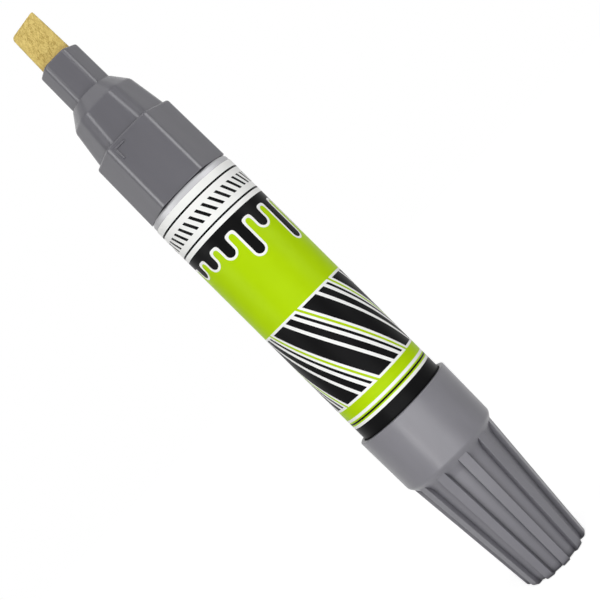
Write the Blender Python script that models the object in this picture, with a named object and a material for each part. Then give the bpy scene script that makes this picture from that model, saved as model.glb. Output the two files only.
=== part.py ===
"""Valve-action paint marker with a chisel nib, standing on its posted cap."""

import math

import bmesh
import bpy
from mathutils import Vector

MM = 0.001

# Barrel, a drawn can with its mouth rolled in over the nose's spigot
BARREL_RADIUS = 9.85 * MM
BARREL_WALL = 0.45 * MM
BARREL_FLOOR = 0.6 * MM
BARREL_LENGTH = 69.95 * MM
BARREL_BASE_ROUND = 1.2 * MM
BARREL_LIP_ROUND = 0.9 * MM
BARREL_LIP_REACH = 1.4 * MM

# Label wrapped round the barrel
LABEL_THICKNESS = 0.1 * MM
LABEL_BARE_TOP = 1.4 * MM
LABEL_BARE_BASE = 2.4 * MM

# Cap, posted on the barrel's closed end
SKIRT_LENGTH = 12.75 * MM
SKIRT_WALL = 1.05 * MM
SKIRT_DRAFT = 0.2 * MM
SHOULDER_DROP = 2.3 * MM
GRIP_LENGTH = 27.5 * MM
GRIP_TAPER = 2.4 * MM
GRIP_WALL = 1.0 * MM
LEDGE_WIDTH = 1.91 * MM
LEDGE_RISE = 0.7 * MM
CAP_END_WALL = 1.2 * MM
CAP_END_ROUND = 0.7 * MM
RIB_COUNT = 11
RIB_WIDTH = 2.15 * MM
RIB_END_WIDTH = 1.75 * MM
RIB_HEIGHT = 0.9 * MM
RIB_RISE = 1.5 * MM
RIB_ROOT = 0.5 * MM
RIB_TURN = math.radians(8)

# Seal cup inside the cap
CUP_WALL = 0.7 * MM
CUP_SPARE_DEPTH = 2.0 * MM
CUP_FLANGE = 1.2 * MM

# Nose collar, hexagonal all the way to the tip
COLLAR_LENGTH = 15.15 * MM
COLLAR_OVERHANG = 0.08 * MM
COLLAR_TAPER = 0.22 * MM
COLLAR_FILLET = 1.8 * MM
COLLAR_EDGE = 0.3 * MM
COLLAR_STEP = 0.521 * MM
MID_LENGTH = 7.85 * MM
MID_TAPER = 1.09 * MM
MID_FILLET = 3.2 * MM
CONE_LENGTH = 3.1 * MM
CONE_LEDGE = 0.15 * MM
CONE_FLAT = 0.8 * MM
TIP_LENGTH = 9.35 * MM
TIP_WALL = 0.754 * MM
TIP_TAPER = 0.12 * MM
TIP_FILLET = 0.9 * MM
TIP_EDGE = 0.45 * MM
SPIGOT_LENGTH = 9.8 * MM
SPIGOT_WALL = 0.8 * MM
CHAMBER_GAP = 0.8 * MM
CHAMBER_LENGTH = 11.0 * MM

# Sealing ring round the spigot
RING_SECTION = 0.8 * MM
RING_DROP = 3.0 * MM

# Felt nib
NIB_WIDTH = 7.05 * MM
NIB_TIP_WIDTH = 6.5 * MM
NIB_THICKNESS = 3.5 * MM
NIB_ROUND = 0.8 * MM
NIB_EXPOSED = 9.9 * MM
NIB_TRAVEL = 2.0 * MM
NIB_SKEW = math.radians(8.5)
NIB_EDGE = 1.1 * MM
NIB_BEVEL = 3.6 * MM

# Valve behind the nib
SEAT_THICKNESS = 3.6 * MM
SEAT_HOLE_GAP = 0.5 * MM
GASKET_WIDTH = 2.4 * MM
GASKET_THICKNESS = 1.2 * MM
GASKET_PROUD = 0.3 * MM
STEM_RADIUS = 1.4 * MM
HEAD_OVERLAP = 1.5 * MM
HEAD_THICKNESS = 1.8 * MM
PIN_RADIUS = 1.2 * MM
SPRING_LENGTH = 8.4 * MM
SPRING_WIRE = 0.28 * MM
SPRING_PIN_GAP = 0.82 * MM
SPRING_TURNS = 5
CASE_WALL = 1.3 * MM
CASE_FLOOR = 1.5 * MM
WINDOW_WIDTH = 2.6 * MM
WINDOW_HEIGHT = 4.5 * MM
WINDOW_RISE = 1.5 * MM

# Mixing balls loose in the barrel
BALL_RADIUS = 3.0 * MM
BALL_SPACING = 8.4 * MM

# Gaps between pieces
FILM_GAP = 0.05 * MM
SLIDE_GAP = 0.1 * MM
SEAT_GAP = 0.3 * MM

# Fineness of round forms
SEGMENTS = 40
SMALL_SEGMENTS = 20
ROUND_STEPS = 4
FILLET_STEPS = 3
CURL_POINTS = 10
WELD = 1e-7
SMOOTH_ANGLE = math.radians(35)

# Radii that follow from the pieces they fit
LABEL_INNER = BARREL_RADIUS + FILM_GAP
LABEL_OUTER = LABEL_INNER + LABEL_THICKNESS
CAP_BORE = LABEL_OUTER + SLIDE_GAP
SKIRT_RADIUS = CAP_BORE + SKIRT_WALL
GRIP_TOP_RADIUS = CAP_BORE - LEDGE_WIDTH + GRIP_WALL
GRIP_END_RADIUS = GRIP_TOP_RADIUS - GRIP_TAPER
BARREL_BORE = BARREL_RADIUS - BARREL_WALL
LIP_RADIUS = BARREL_RADIUS - BARREL_LIP_REACH
NECK_RADIUS = LIP_RADIUS - SLIDE_GAP
SPIGOT_RADIUS = BARREL_BORE - SLIDE_GAP
RING_RADIUS = BARREL_BORE - FILM_GAP - RING_SECTION
GROOVE_RADIUS = RING_RADIUS - RING_SECTION - FILM_GAP
VALVE_BORE_RADIUS = GROOVE_RADIUS - SPIGOT_WALL
VALVE_RADIUS = VALVE_BORE_RADIUS - SLIDE_GAP
SLOT_WIDTH = NIB_WIDTH + 2 * SLIDE_GAP
SLOT_THICKNESS = NIB_THICKNESS + 2 * SLIDE_GAP
SLOT_ROUND = NIB_ROUND + SLIDE_GAP
HEX_COS = math.cos(math.radians(30))
HEX_SIN = math.sin(math.radians(30))
SLOT_REACH = (
    (SLOT_WIDTH / 2 - SLOT_ROUND) * HEX_COS + (SLOT_THICKNESS / 2 - SLOT_ROUND) * HEX_SIN + SLOT_ROUND
)
TIP_APOTHEM = SLOT_REACH + TIP_WALL
TIP_CORNER = (TIP_APOTHEM - TIP_FILLET) / HEX_COS + TIP_FILLET
COLLAR_CORNER = BARREL_RADIUS + COLLAR_OVERHANG
COLLAR_BASE_APOTHEM = (COLLAR_CORNER - COLLAR_FILLET) * HEX_COS + COLLAR_FILLET
COLLAR_TOP_APOTHEM = COLLAR_BASE_APOTHEM - COLLAR_TAPER
MID_BASE_APOTHEM = COLLAR_TOP_APOTHEM - COLLAR_STEP
MID_TOP_APOTHEM = MID_BASE_APOTHEM - MID_TAPER
CONE_END_FILLET = TIP_CORNER + CONE_LEDGE - CONE_FLAT
CONE_END_APOTHEM = CONE_FLAT * HEX_COS + CONE_END_FILLET
NIB_REACH = math.hypot(NIB_WIDTH / 2 - NIB_ROUND, NIB_THICKNESS / 2 - NIB_ROUND) + NIB_ROUND
CHAMBER_RADIUS = NIB_REACH + CHAMBER_GAP
SEAT_HOLE = STEM_RADIUS + SEAT_HOLE_GAP
GASKET_RADIUS = SEAT_HOLE + GASKET_WIDTH
HEAD_RADIUS = SEAT_HOLE + HEAD_OVERLAP
SPRING_RADIUS = PIN_RADIUS + SPRING_PIN_GAP + SPRING_WIRE

# Heights of the assembled marker above its resting face
CAP_LENGTH = GRIP_LENGTH + SHOULDER_DROP + SKIRT_LENGTH
LEDGE_Z = GRIP_LENGTH + SHOULDER_DROP + LEDGE_RISE
BARREL_Z = LEDGE_Z + SEAT_GAP
BARREL_TOP_Z = BARREL_Z + BARREL_LENGTH
NOSE_Z = BARREL_TOP_Z + SEAT_GAP
TIP_Z = NOSE_Z + COLLAR_LENGTH + MID_LENGTH + CONE_LENGTH + TIP_LENGTH
CHAMBER_TOP_Z = TIP_Z - TIP_LENGTH - CONE_LENGTH
CHAMBER_Z = CHAMBER_TOP_Z - CHAMBER_LENGTH
NIB_Z = CHAMBER_Z + NIB_TRAVEL + SEAT_GAP
STEM_TOP_Z = NIB_Z - SLIDE_GAP
SEAT_Z = CHAMBER_Z - SLIDE_GAP - SEAT_THICKNESS
GASKET_Z = SEAT_Z - GASKET_PROUD
HEAD_TOP_Z = GASKET_Z - SLIDE_GAP
SPRING_TOP_Z = HEAD_TOP_Z - HEAD_THICKNESS - SLIDE_GAP
SPRING_Z = SPRING_TOP_Z - SPRING_LENGTH
CASE_Z = SPRING_Z - SLIDE_GAP - CASE_FLOOR
CASE_TOP_Z = SEAT_Z - SLIDE_GAP
CUP_Z = CAP_END_WALL + SEAT_GAP
BALL_Z = BARREL_Z + BARREL_FLOOR + SLIDE_GAP + BALL_RADIUS


def arc(centre, radius, start, end, steps=ROUND_STEPS):
    """Points of a (radius, height) arc between two angles in degrees, both ends included."""
    angles = [math.radians(start + (end - start) * step / steps) for step in range(steps + 1)]
    return [(centre[0] + radius * math.cos(a), centre[1] + radius * math.sin(a)) for a in angles]


def make_material(name, colour, roughness, metallic=0.0):
    """A named Principled material of one colour."""
    material = bpy.data.materials.new(name)
    material.use_nodes = True
    shader = material.node_tree.nodes["Principled BSDF"]
    shader.inputs["Base Color"].default_value = (*colour, 1.0)
    shader.inputs["Roughness"].default_value = roughness
    shader.inputs["Metallic"].default_value = metallic
    return material


def add_object(name, bm, material):
    """A named object from a bmesh, facing out, with smooth rounds and sharp edges."""
    bmesh.ops.recalc_face_normals(bm, faces=bm.faces[:])
    mesh = bpy.data.meshes.new(name)
    bm.to_mesh(mesh)
    bm.free()
    mesh.materials.append(material)
    mesh.shade_smooth()
    mesh.set_sharp_from_angle(angle=SMOOTH_ANGLE)
    obj = bpy.data.objects.new(name, mesh)
    bpy.context.scene.collection.objects.link(obj)
    return obj


def turned(name, outline, material, segments=SEGMENTS):
    """An outline of (radius, height) points spun about Z; one that ends on the axis stays open there."""
    bm = bmesh.new()
    points = [bm.verts.new((radius, 0.0, height)) for radius, height in outline]
    edges = [bm.edges.new(pair) for pair in zip(points, points[1:])]
    if outline[0][0] > 0.0:
        edges.append(bm.edges.new((points[-1], points[0])))
    bmesh.ops.spin(
        bm, geom=points + edges, cent=(0.0, 0.0, 0.0), axis=(0.0, 0.0, 1.0),
        angle=2 * math.pi, steps=segments, use_merge=True,
    )
    bmesh.ops.remove_doubles(bm, verts=bm.verts[:], dist=WELD)
    return add_object(name, bm, material)


def loft(sections):
    """A closed bmesh skinned through rings of equal length, given as (height, points)."""
    bm = bmesh.new()
    rings = [[bm.verts.new((x, y, height)) for x, y in points] for height, points in sections]
    for lower, upper in zip(rings, rings[1:]):
        for i in range(len(lower)):
            bm.faces.new((lower[i - 1], lower[i], upper[i], upper[i - 1]))
    bm.faces.new(rings[0])
    bm.faces.new(rings[-1])
    return bm


def rounded_polygon(corners, radius):
    """Points round a shape whose corners, given as (x, y, middle angle, half sweep), have one radius."""
    points = []
    for x, y, middle, half in corners:
        points += arc((x, y), radius, middle - half, middle + half, FILLET_STEPS)
    return points


def hexagon(apothem, fillet):
    """Points round a hexagon with rounded corners and a flat towards -Y."""
    reach = (apothem - fillet) / HEX_COS
    corners = []
    for i in range(6):
        angle = math.radians(60 * i)
        corners.append((reach * math.cos(angle), reach * math.sin(angle), 60 * i, 30))
    return rounded_polygon(corners, fillet)


def rectangle(width, thickness, radius):
    """Points round a rectangle with rounded corners."""
    x = width / 2 - radius
    y = thickness / 2 - radius
    corners = [(x, y, 45, 45), (-x, y, 135, 45), (-x, -y, 225, 45), (x, -y, 315, 45)]
    return rounded_polygon(corners, radius)


def combine(obj, operation, tool):
    """Adds a Boolean modifier and hides its tool."""
    modifier = obj.modifiers.new(tool.name, "BOOLEAN")
    modifier.operation = operation
    modifier.solver = "EXACT"
    modifier.object = tool
    tool.parent = obj
    tool.hide_render = True
    tool.display_type = "WIRE"


def cut_through(bm, point, normal):
    """Removes what lies beyond a plane and closes the cut."""
    geometry = bm.verts[:] + bm.edges[:] + bm.faces[:]
    result = bmesh.ops.bisect_plane(
        bm, geom=geometry, dist=WELD, plane_co=point, plane_no=normal, clear_outer=True
    )
    rim = [item for item in result["geom_cut"] if isinstance(item, bmesh.types.BMEdge)]
    bmesh.ops.edgeloop_fill(bm, edges=rim)


def add_group(name, parent=None):
    """An empty on the marker's axis that a moving group hangs from."""
    empty = bpy.data.objects.new(name, None)
    empty.empty_display_size = 5 * MM
    empty.parent = parent
    bpy.context.scene.collection.objects.link(empty)
    return empty


def place(obj, parent, height, x=0.0):
    """Puts a piece at its height under its group."""
    obj.parent = parent
    obj.location = (x, 0.0, height)


def grip_radius(height):
    """Radius of the cap's groove floors at a height."""
    share = height / GRIP_LENGTH
    return GRIP_END_RADIUS + (GRIP_TOP_RADIUS - GRIP_END_RADIUS) * share


def add_cap_shell(material):
    """The cap: plain skirt, sloping shoulder and ribbed grip."""
    outline = [(0.0, 0.0)]
    outline += arc((grip_radius(0.0) - CAP_END_ROUND, CAP_END_ROUND), CAP_END_ROUND, -90, 0)
    outline += [
        (GRIP_TOP_RADIUS, GRIP_LENGTH),
        (SKIRT_RADIUS - SKIRT_DRAFT, GRIP_LENGTH + SHOULDER_DROP),
        (SKIRT_RADIUS, CAP_LENGTH - SEAT_GAP),
        (SKIRT_RADIUS - SEAT_GAP, CAP_LENGTH),
        (CAP_BORE + SEAT_GAP, CAP_LENGTH),
        (CAP_BORE, CAP_LENGTH - SEAT_GAP),
        (CAP_BORE, LEDGE_Z),
        (GRIP_TOP_RADIUS - GRIP_WALL, LEDGE_Z),
        (GRIP_TOP_RADIUS - GRIP_WALL, GRIP_LENGTH),
        (grip_radius(CAP_END_WALL) - GRIP_WALL, CAP_END_WALL),
        (0.0, CAP_END_WALL),
    ]
    shell = turned("cap_shell", outline, material)
    combine(shell, "UNION", add_ribs(material))
    return shell


def add_ribs(material):
    """All grip ribs of the cap as one tool."""
    top = GRIP_LENGTH + RIB_RISE
    outer_end = GRIP_END_RADIUS + RIB_HEIGHT
    outline = arc((outer_end - CAP_END_ROUND, CAP_END_ROUND), CAP_END_ROUND, -90, 0)
    outline += [
        (grip_radius(top) + RIB_HEIGHT, top),
        (grip_radius(top) - RIB_ROOT, top),
        (grip_radius(CAP_END_WALL) - RIB_ROOT, CAP_END_WALL),
        (GRIP_END_RADIUS - CAP_END_ROUND - RIB_ROOT, 0.0),
    ]
    bm = bmesh.new()
    for i in range(RIB_COUNT):
        angle = -math.pi / 2 + RIB_TURN + 2 * math.pi * i / RIB_COUNT
        along = Vector((math.cos(angle), math.sin(angle), 0.0))
        side = Vector((-math.sin(angle), math.cos(angle), 0.0))
        left = []
        right = []
        for radius, z in outline:
            middle = along * radius + Vector((0.0, 0.0, z))
            half = side * (RIB_END_WIDTH + (RIB_WIDTH - RIB_END_WIDTH) * z / top) / 2
            left.append(bm.verts.new(middle - half))
            right.append(bm.verts.new(middle + half))
        bm.faces.new(left)
        bm.faces.new(right)
        for k in range(len(outline)):
            bm.faces.new((left[k - 1], left[k], right[k], right[k - 1]))
    return add_object("cap_ribs_tool", bm, material)


def add_seal_cup(material):
    """The cup inside the cap that closes on the nose's cone."""
    depth = NIB_EXPOSED + TIP_LENGTH + CUP_SPARE_DEPTH
    length = depth + CUP_WALL
    bore_top = TIP_CORNER + 2 * SEAT_GAP
    outer_end = grip_radius(CUP_Z) - GRIP_WALL - SEAT_GAP
    bore_end = outer_end - CUP_WALL
    flange_z = length - 2 * CUP_FLANGE
    flange_radius = grip_radius(CUP_Z + flange_z) - GRIP_WALL - SLIDE_GAP
    outline = [
        (0.0, 0.0),
        (outer_end, 0.0),
        (bore_top + CUP_WALL, flange_z),
        (flange_radius, flange_z),
        (flange_radius, flange_z + CUP_FLANGE),
        (bore_top + CUP_WALL, flange_z + CUP_FLANGE),
        (bore_top + CUP_WALL, length),
        (bore_top + CUP_WALL / 2, length),
        (bore_top, length - CUP_WALL),
        (bore_end, CUP_WALL),
        (0.0, CUP_WALL),
    ]
    return turned("cap_seal_cup", outline, material)


def add_barrel(material):
    """The aluminium can with a rounded base and a rolled lip."""
    outer = BARREL_RADIUS
    lip = BARREL_LIP_ROUND
    base = BARREL_BASE_ROUND
    inner_lip = lip - BARREL_WALL
    inner_base = base - BARREL_WALL
    top = BARREL_LENGTH
    outline = [(0.0, 0.0)]
    outline += arc((outer - base, base), base, -90, 0)
    outline += arc((outer - lip, top - lip), lip, 0, 90)
    outline += [(LIP_RADIUS, top), (LIP_RADIUS, top - BARREL_WALL)]
    outline += arc((outer - lip, top - lip), inner_lip, 90, 0)
    outline += arc((BARREL_BORE - inner_base, BARREL_FLOOR + inner_base), inner_base, 0, -90)
    outline += [(0.0, BARREL_FLOOR)]
    return turned("barrel_tube", outline, material)


def add_label(material):
    """The thin printed wrap."""
    length = BARREL_LENGTH - LABEL_BARE_TOP - LABEL_BARE_BASE
    outline = [(LABEL_INNER, 0.0), (LABEL_OUTER, 0.0), (LABEL_OUTER, length), (LABEL_INNER, length)]
    return turned("label_wrap", outline, material)


def add_nose(material):
    """The nose collar with its spigot, valve bore and nib slot."""
    cone_start = COLLAR_LENGTH + MID_LENGTH
    cone_end = cone_start + CONE_LENGTH
    sections = [
        (0.0, hexagon(COLLAR_BASE_APOTHEM, COLLAR_FILLET)),
        (COLLAR_LENGTH - COLLAR_EDGE, hexagon(COLLAR_TOP_APOTHEM, COLLAR_FILLET)),
        (COLLAR_LENGTH, hexagon(COLLAR_TOP_APOTHEM - COLLAR_EDGE, COLLAR_FILLET)),
        (COLLAR_LENGTH, hexagon(MID_BASE_APOTHEM, MID_FILLET)),
        (cone_start, hexagon(MID_TOP_APOTHEM, MID_FILLET)),
        (cone_end, hexagon(CONE_END_APOTHEM, CONE_END_FILLET)),
    ]
    nose = add_object("nose_collar", loft(sections), material)
    combine(nose, "UNION", add_tip_tool(cone_end, material))
    combine(nose, "UNION", add_spigot_tool(material))
    combine(nose, "DIFFERENCE", add_bore_tool(material))
    combine(nose, "DIFFERENCE", add_slot_tool(material))
    return nose


def add_tip_tool(cone_end, material):
    """The hexagonal tip tube, rooted inside the cone."""
    top = cone_end + TIP_LENGTH
    front = TIP_APOTHEM - TIP_TAPER
    sections = [(cone_end - CONE_LENGTH / 2, hexagon(TIP_APOTHEM, TIP_FILLET))]
    for inset, height in arc((0.0, top - TIP_EDGE), TIP_EDGE, 0, 90, FILLET_STEPS):
        sections.append((height, hexagon(front - (TIP_EDGE - inset) / 2, TIP_FILLET)))
    return add_object("nose_tip_tool", loft(sections), material)


def add_spigot_tool(material):
    """The round spigot, necked under the barrel's lip and grooved for the ring."""
    neck_end = -(SEAT_GAP + BARREL_LIP_ROUND + SLIDE_GAP)
    groove_top = neck_end - RING_DROP + RING_SECTION + SLIDE_GAP
    groove_base = neck_end - RING_DROP - RING_SECTION - SLIDE_GAP
    outline = [
        (0.0, -SPIGOT_LENGTH),
        (SPIGOT_RADIUS, -SPIGOT_LENGTH),
        (SPIGOT_RADIUS, groove_base),
        (GROOVE_RADIUS, groove_base),
        (GROOVE_RADIUS, groove_top),
        (SPIGOT_RADIUS, groove_top),
        (SPIGOT_RADIUS, neck_end),
        (NECK_RADIUS, neck_end),
        (NECK_RADIUS, COLLAR_LENGTH / 4),
        (0.0, COLLAR_LENGTH / 4),
    ]
    return turned("nose_spigot_tool", outline, material)


def add_bore_tool(material):
    """The valve bore and the paint chamber above it."""
    ledge = CHAMBER_Z - NOSE_Z
    top = CHAMBER_TOP_Z - NOSE_Z
    below = -SPIGOT_LENGTH - SEAT_GAP
    outline = [
        (0.0, below),
        (VALVE_BORE_RADIUS, below),
        (VALVE_BORE_RADIUS, ledge),
        (CHAMBER_RADIUS, ledge),
        (CHAMBER_RADIUS, top),
        (0.0, top),
    ]
    return turned("nose_bore_tool", outline, material)


def add_slot_tool(material):
    """The slot that guides the nib out through the tip."""
    section = rectangle(SLOT_WIDTH, SLOT_THICKNESS, SLOT_ROUND)
    low = CHAMBER_TOP_Z - NOSE_Z - CONE_LENGTH / 2
    high = TIP_Z - NOSE_Z + SEAT_GAP
    return add_object("nose_slot_tool", loft([(low, section), (high, section)]), material)


def add_ring(material):
    """The sealing ring in the spigot's groove."""
    outline = arc((RING_RADIUS, 0.0), RING_SECTION, 0, 315, 7)
    return turned("collar_seal_ring", outline, material)


def add_nib(material):
    """The felt nib: a slab with a skewed end and a chisel bevel at its back."""
    inside = TIP_Z - NIB_Z
    length = inside + NIB_EXPOSED
    beyond = length + NIB_WIDTH
    narrowing = (NIB_WIDTH - NIB_TIP_WIDTH) / NIB_EXPOSED
    far_width = NIB_TIP_WIDTH - narrowing * NIB_WIDTH
    bm = loft([
        (0.0, rectangle(NIB_WIDTH, NIB_THICKNESS, NIB_ROUND)),
        (inside, rectangle(NIB_WIDTH, NIB_THICKNESS, NIB_ROUND)),
        (beyond, rectangle(far_width, NIB_THICKNESS, NIB_ROUND)),
    ])
    along = Vector((math.cos(NIB_SKEW), 0.0, math.sin(NIB_SKEW)))
    corner = Vector((NIB_TIP_WIDTH / 2, 0.0, length))
    cut_through(bm, corner, along.cross(Vector((0.0, 1.0, 0.0))))
    bevel_start = corner + Vector((0.0, NIB_EDGE - NIB_THICKNESS / 2, 0.0))
    down_back = Vector((0.0, NIB_THICKNESS - NIB_EDGE, -NIB_BEVEL))
    cut_through(bm, bevel_start, along.cross(down_back))
    return add_object("nib", bm, material)


def add_seat(material):
    """The valve seat with a recess for its gasket."""
    recess = GASKET_THICKNESS - GASKET_PROUD + SLIDE_GAP
    outline = [
        (SEAT_HOLE, recess),
        (GASKET_RADIUS + SLIDE_GAP, recess),
        (GASKET_RADIUS + SLIDE_GAP, 0.0),
        (VALVE_RADIUS, 0.0),
        (VALVE_RADIUS, SEAT_THICKNESS),
        (SEAT_HOLE, SEAT_THICKNESS),
    ]
    return turned("valve_seat", outline, material, SMALL_SEGMENTS)


def add_gasket(material):
    """The soft washer that the valve head closes on."""
    outline = [
        (SEAT_HOLE, 0.0),
        (GASKET_RADIUS, 0.0),
        (GASKET_RADIUS, GASKET_THICKNESS),
        (SEAT_HOLE, GASKET_THICKNESS),
    ]
    return turned("seat_gasket", outline, material, SMALL_SEGMENTS)


def add_rod(material):
    """The valve rod: stem above, head at the origin, guide pin below."""
    pin_length = SPRING_LENGTH - NIB_TRAVEL - SEAT_GAP
    outline = [
        (0.0, -HEAD_THICKNESS - pin_length),
        (PIN_RADIUS, -HEAD_THICKNESS - pin_length),
        (PIN_RADIUS, -HEAD_THICKNESS),
        (HEAD_RADIUS, -HEAD_THICKNESS),
        (HEAD_RADIUS, 0.0),
        (STEM_RADIUS, 0.0),
        (STEM_RADIUS, STEM_TOP_Z - HEAD_TOP_Z),
        (0.0, STEM_TOP_Z - HEAD_TOP_Z),
    ]
    return turned("valve_rod", outline, material, SMALL_SEGMENTS)


def spring_points():
    """Points along the spring's wire, one curl after another."""
    count = SPRING_TURNS * CURL_POINTS
    rise = SPRING_LENGTH - 2 * SPRING_WIRE
    points = []
    for i in range(count + 1):
        angle = 2 * math.pi * i / CURL_POINTS
        height = SPRING_WIRE + rise * i / count
        points.append(Vector((SPRING_RADIUS * math.cos(angle), SPRING_RADIUS * math.sin(angle), height)))
    return points


def least_gap(points):
    """The least clear distance between points of a wire half a curl or more apart."""
    distances = []
    for i, point in enumerate(points):
        for other in points[i + CURL_POINTS // 2:]:
            distances.append((point - other).length)
    return min(distances) - 2 * SPRING_WIRE


def add_spring(material):
    """The coil spring as one unbroken tube."""
    points = spring_points()
    curve = bpy.data.curves.new("valve_spring", "CURVE")
    curve.dimensions = "3D"
    curve.bevel_depth = SPRING_WIRE
    curve.bevel_resolution = 1
    curve.use_fill_caps = True
    spline = curve.splines.new("POLY")
    spline.points.add(len(points) - 1)
    for target, point in zip(spline.points, points):
        target.co = (*point, 1.0)
    curve.materials.append(material)
    spring = bpy.data.objects.new("valve_spring", curve)
    bpy.context.scene.collection.objects.link(spring)
    print(f"valve_spring least gap to itself {least_gap(points) / MM:.2f} mm")
    return spring


def add_case(material):
    """The windowed cup that holds the spring under the seat."""
    height = CASE_TOP_Z - CASE_Z
    bore = VALVE_RADIUS - CASE_WALL
    outline = [
        (SPRING_RADIUS - 2 * SPRING_WIRE, 0.0),
        (VALVE_RADIUS, 0.0),
        (VALVE_RADIUS, height),
        (bore, height),
        (bore, CASE_FLOOR),
        (SPRING_RADIUS - 2 * SPRING_WIRE, CASE_FLOOR),
    ]
    case = turned("valve_case", outline, material, SMALL_SEGMENTS)
    for name, size_x, size_y in (
        ("case_window_tool_x", 4 * VALVE_RADIUS, WINDOW_WIDTH),
        ("case_window_tool_y", WINDOW_WIDTH, 4 * VALVE_RADIUS),
    ):
        low = CASE_FLOOR + WINDOW_RISE
        corners = [
            (size_x / 2, size_y / 2),
            (-size_x / 2, size_y / 2),
            (-size_x / 2, -size_y / 2),
            (size_x / 2, -size_y / 2),
        ]
        bm = loft([(low, corners), (low + WINDOW_HEIGHT, corners)])
        combine(case, "DIFFERENCE", add_object(name, bm, material))
    return case


def add_ball(name, material):
    """A steel mixing ball."""
    bm = bmesh.new()
    bmesh.ops.create_icosphere(bm, subdivisions=3, radius=BALL_RADIUS)
    return add_object(name, bm, material)


def build():
    """Makes every piece and hangs it from its group."""
    for obj in list(bpy.data.objects):
        bpy.data.objects.remove(obj, do_unlink=True)

    grey = make_material("grey_plastic", (0.17, 0.17, 0.18), 0.45)
    cap_grey = make_material("cap_plastic", (0.24, 0.24, 0.26), 0.42)
    liner = make_material("liner_plastic", (0.75, 0.75, 0.72), 0.5)
    aluminium = make_material("aluminium", (0.8, 0.8, 0.8), 0.3, 1.0)
    print_film = make_material("label_film", (0.43, 0.67, 0.0), 0.35)
    felt = make_material("felt", (0.6, 0.45, 0.16), 0.95)
    white_plastic = make_material("valve_plastic", (0.8, 0.8, 0.78), 0.4)
    rubber = make_material("seal_rubber", (0.02, 0.02, 0.02), 0.7)
    steel = make_material("spring_steel", (0.55, 0.55, 0.56), 0.3, 1.0)
    ball_steel = make_material("ball_steel", (0.7, 0.7, 0.72), 0.15, 1.0)

    marker = add_group("marker")
    cap_group = add_group("cap_group", marker)
    nib_group = add_group("nib_group", marker)

    place(add_cap_shell(cap_grey), cap_group, 0.0)
    place(add_seal_cup(liner), cap_group, CUP_Z)
    place(add_barrel(aluminium), marker, BARREL_Z)
    place(add_label(print_film), marker, BARREL_Z + LABEL_BARE_BASE)
    place(add_nose(grey), marker, NOSE_Z)
    ring_drop = SEAT_GAP + BARREL_LIP_ROUND + SLIDE_GAP + RING_DROP
    place(add_ring(rubber), marker, NOSE_Z - ring_drop)
    place(add_seat(white_plastic), marker, SEAT_Z)
    place(add_gasket(rubber), marker, GASKET_Z)
    place(add_spring(steel), marker, SPRING_Z)
    place(add_case(white_plastic), marker, CASE_Z)
    place(add_nib(felt), nib_group, NIB_Z)
    place(add_rod(white_plastic), nib_group, HEAD_TOP_Z)
    place(add_ball("mixing_ball_1", ball_steel), marker, BALL_Z, BALL_SPACING / 2)
    place(add_ball("mixing_ball_2", ball_steel), marker, BALL_Z, -BALL_SPACING / 2)


build()
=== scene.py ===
"""Paint marker with a chisel felt nib: finished pieces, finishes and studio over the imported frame."""

import logging
import math
from collections.abc import Callable, Sequence
from dataclasses import dataclass
from enum import Enum

import bmesh
import bpy
from mathutils import Matrix, Vector

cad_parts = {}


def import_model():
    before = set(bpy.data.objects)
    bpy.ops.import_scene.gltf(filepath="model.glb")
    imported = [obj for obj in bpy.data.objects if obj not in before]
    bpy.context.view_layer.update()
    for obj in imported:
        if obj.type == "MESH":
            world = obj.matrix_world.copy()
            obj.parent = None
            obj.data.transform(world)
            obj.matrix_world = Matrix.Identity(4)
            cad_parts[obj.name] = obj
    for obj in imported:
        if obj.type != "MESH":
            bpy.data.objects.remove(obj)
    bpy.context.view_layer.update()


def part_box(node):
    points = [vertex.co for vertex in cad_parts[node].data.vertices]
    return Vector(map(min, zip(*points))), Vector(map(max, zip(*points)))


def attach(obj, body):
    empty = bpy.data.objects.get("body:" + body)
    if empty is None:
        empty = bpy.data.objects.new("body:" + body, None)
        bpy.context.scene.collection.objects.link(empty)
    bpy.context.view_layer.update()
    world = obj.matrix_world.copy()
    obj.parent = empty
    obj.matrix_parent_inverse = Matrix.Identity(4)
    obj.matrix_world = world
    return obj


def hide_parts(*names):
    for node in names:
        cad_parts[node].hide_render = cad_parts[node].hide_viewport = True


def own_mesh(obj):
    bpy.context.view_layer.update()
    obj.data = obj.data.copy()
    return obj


log = logging.getLogger("paint_marker")

Piece = bpy.types.Object
Tree = bpy.types.NodeTree
Socket = bpy.types.NodeSocket
Inputs = dict[str | int, object]
Test = Callable[..., bool]

MM = 0.001
Y = 1
Z = 2
CENTRE = (0.0, 0.0, 0.0)
# Half the angle between two flats of a hexagon
HEX_HALF = math.radians(30)
FULL_TURN = 2 * math.pi
# Points closer than this are one point
WELD = 1e-3 * MM
# Least share of a face's direction along the way that it is said to look
FACING = 0.9
# How far a cutting tool runs past what it cuts
OVERRUN = 1.0 * MM
ROUND_STEPS = 128
SMALL_STEPS = 64
FINE_STEPS = 2
EDGE_STEPS = 3
RIM_STEPS = 4
SOFT_STEPS = 5
FILLET_STEPS = 8
FLAT_CUTS = 9
SMOOTH_ANGLE = math.radians(32)


class Body(Enum):
    """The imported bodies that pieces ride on."""

    BARREL = "barrel"
    NIB = "nib_unit"
    CAP = "cap"
    BALL_1 = "ball_1"
    BALL_2 = "ball_2"


class Slot(Enum):
    """The record's material slots."""

    FELT = "felt"
    NOSE = "nose_plastic"
    BARREL = "barrel_aluminium"
    LABEL = "label_film"
    CAP = "cap_plastic"
    LINER = "liner_plastic"
    SEAL = "seal_rubber"
    VALVE = "valve_plastic"
    SPRING = "spring_steel"
    BALL = "ball_steel"


class Domain(Enum):
    """What an edit-mode selection is made of."""

    VERT = "VERT"
    EDGE = "EDGE"
    FACE = "FACE"


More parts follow.
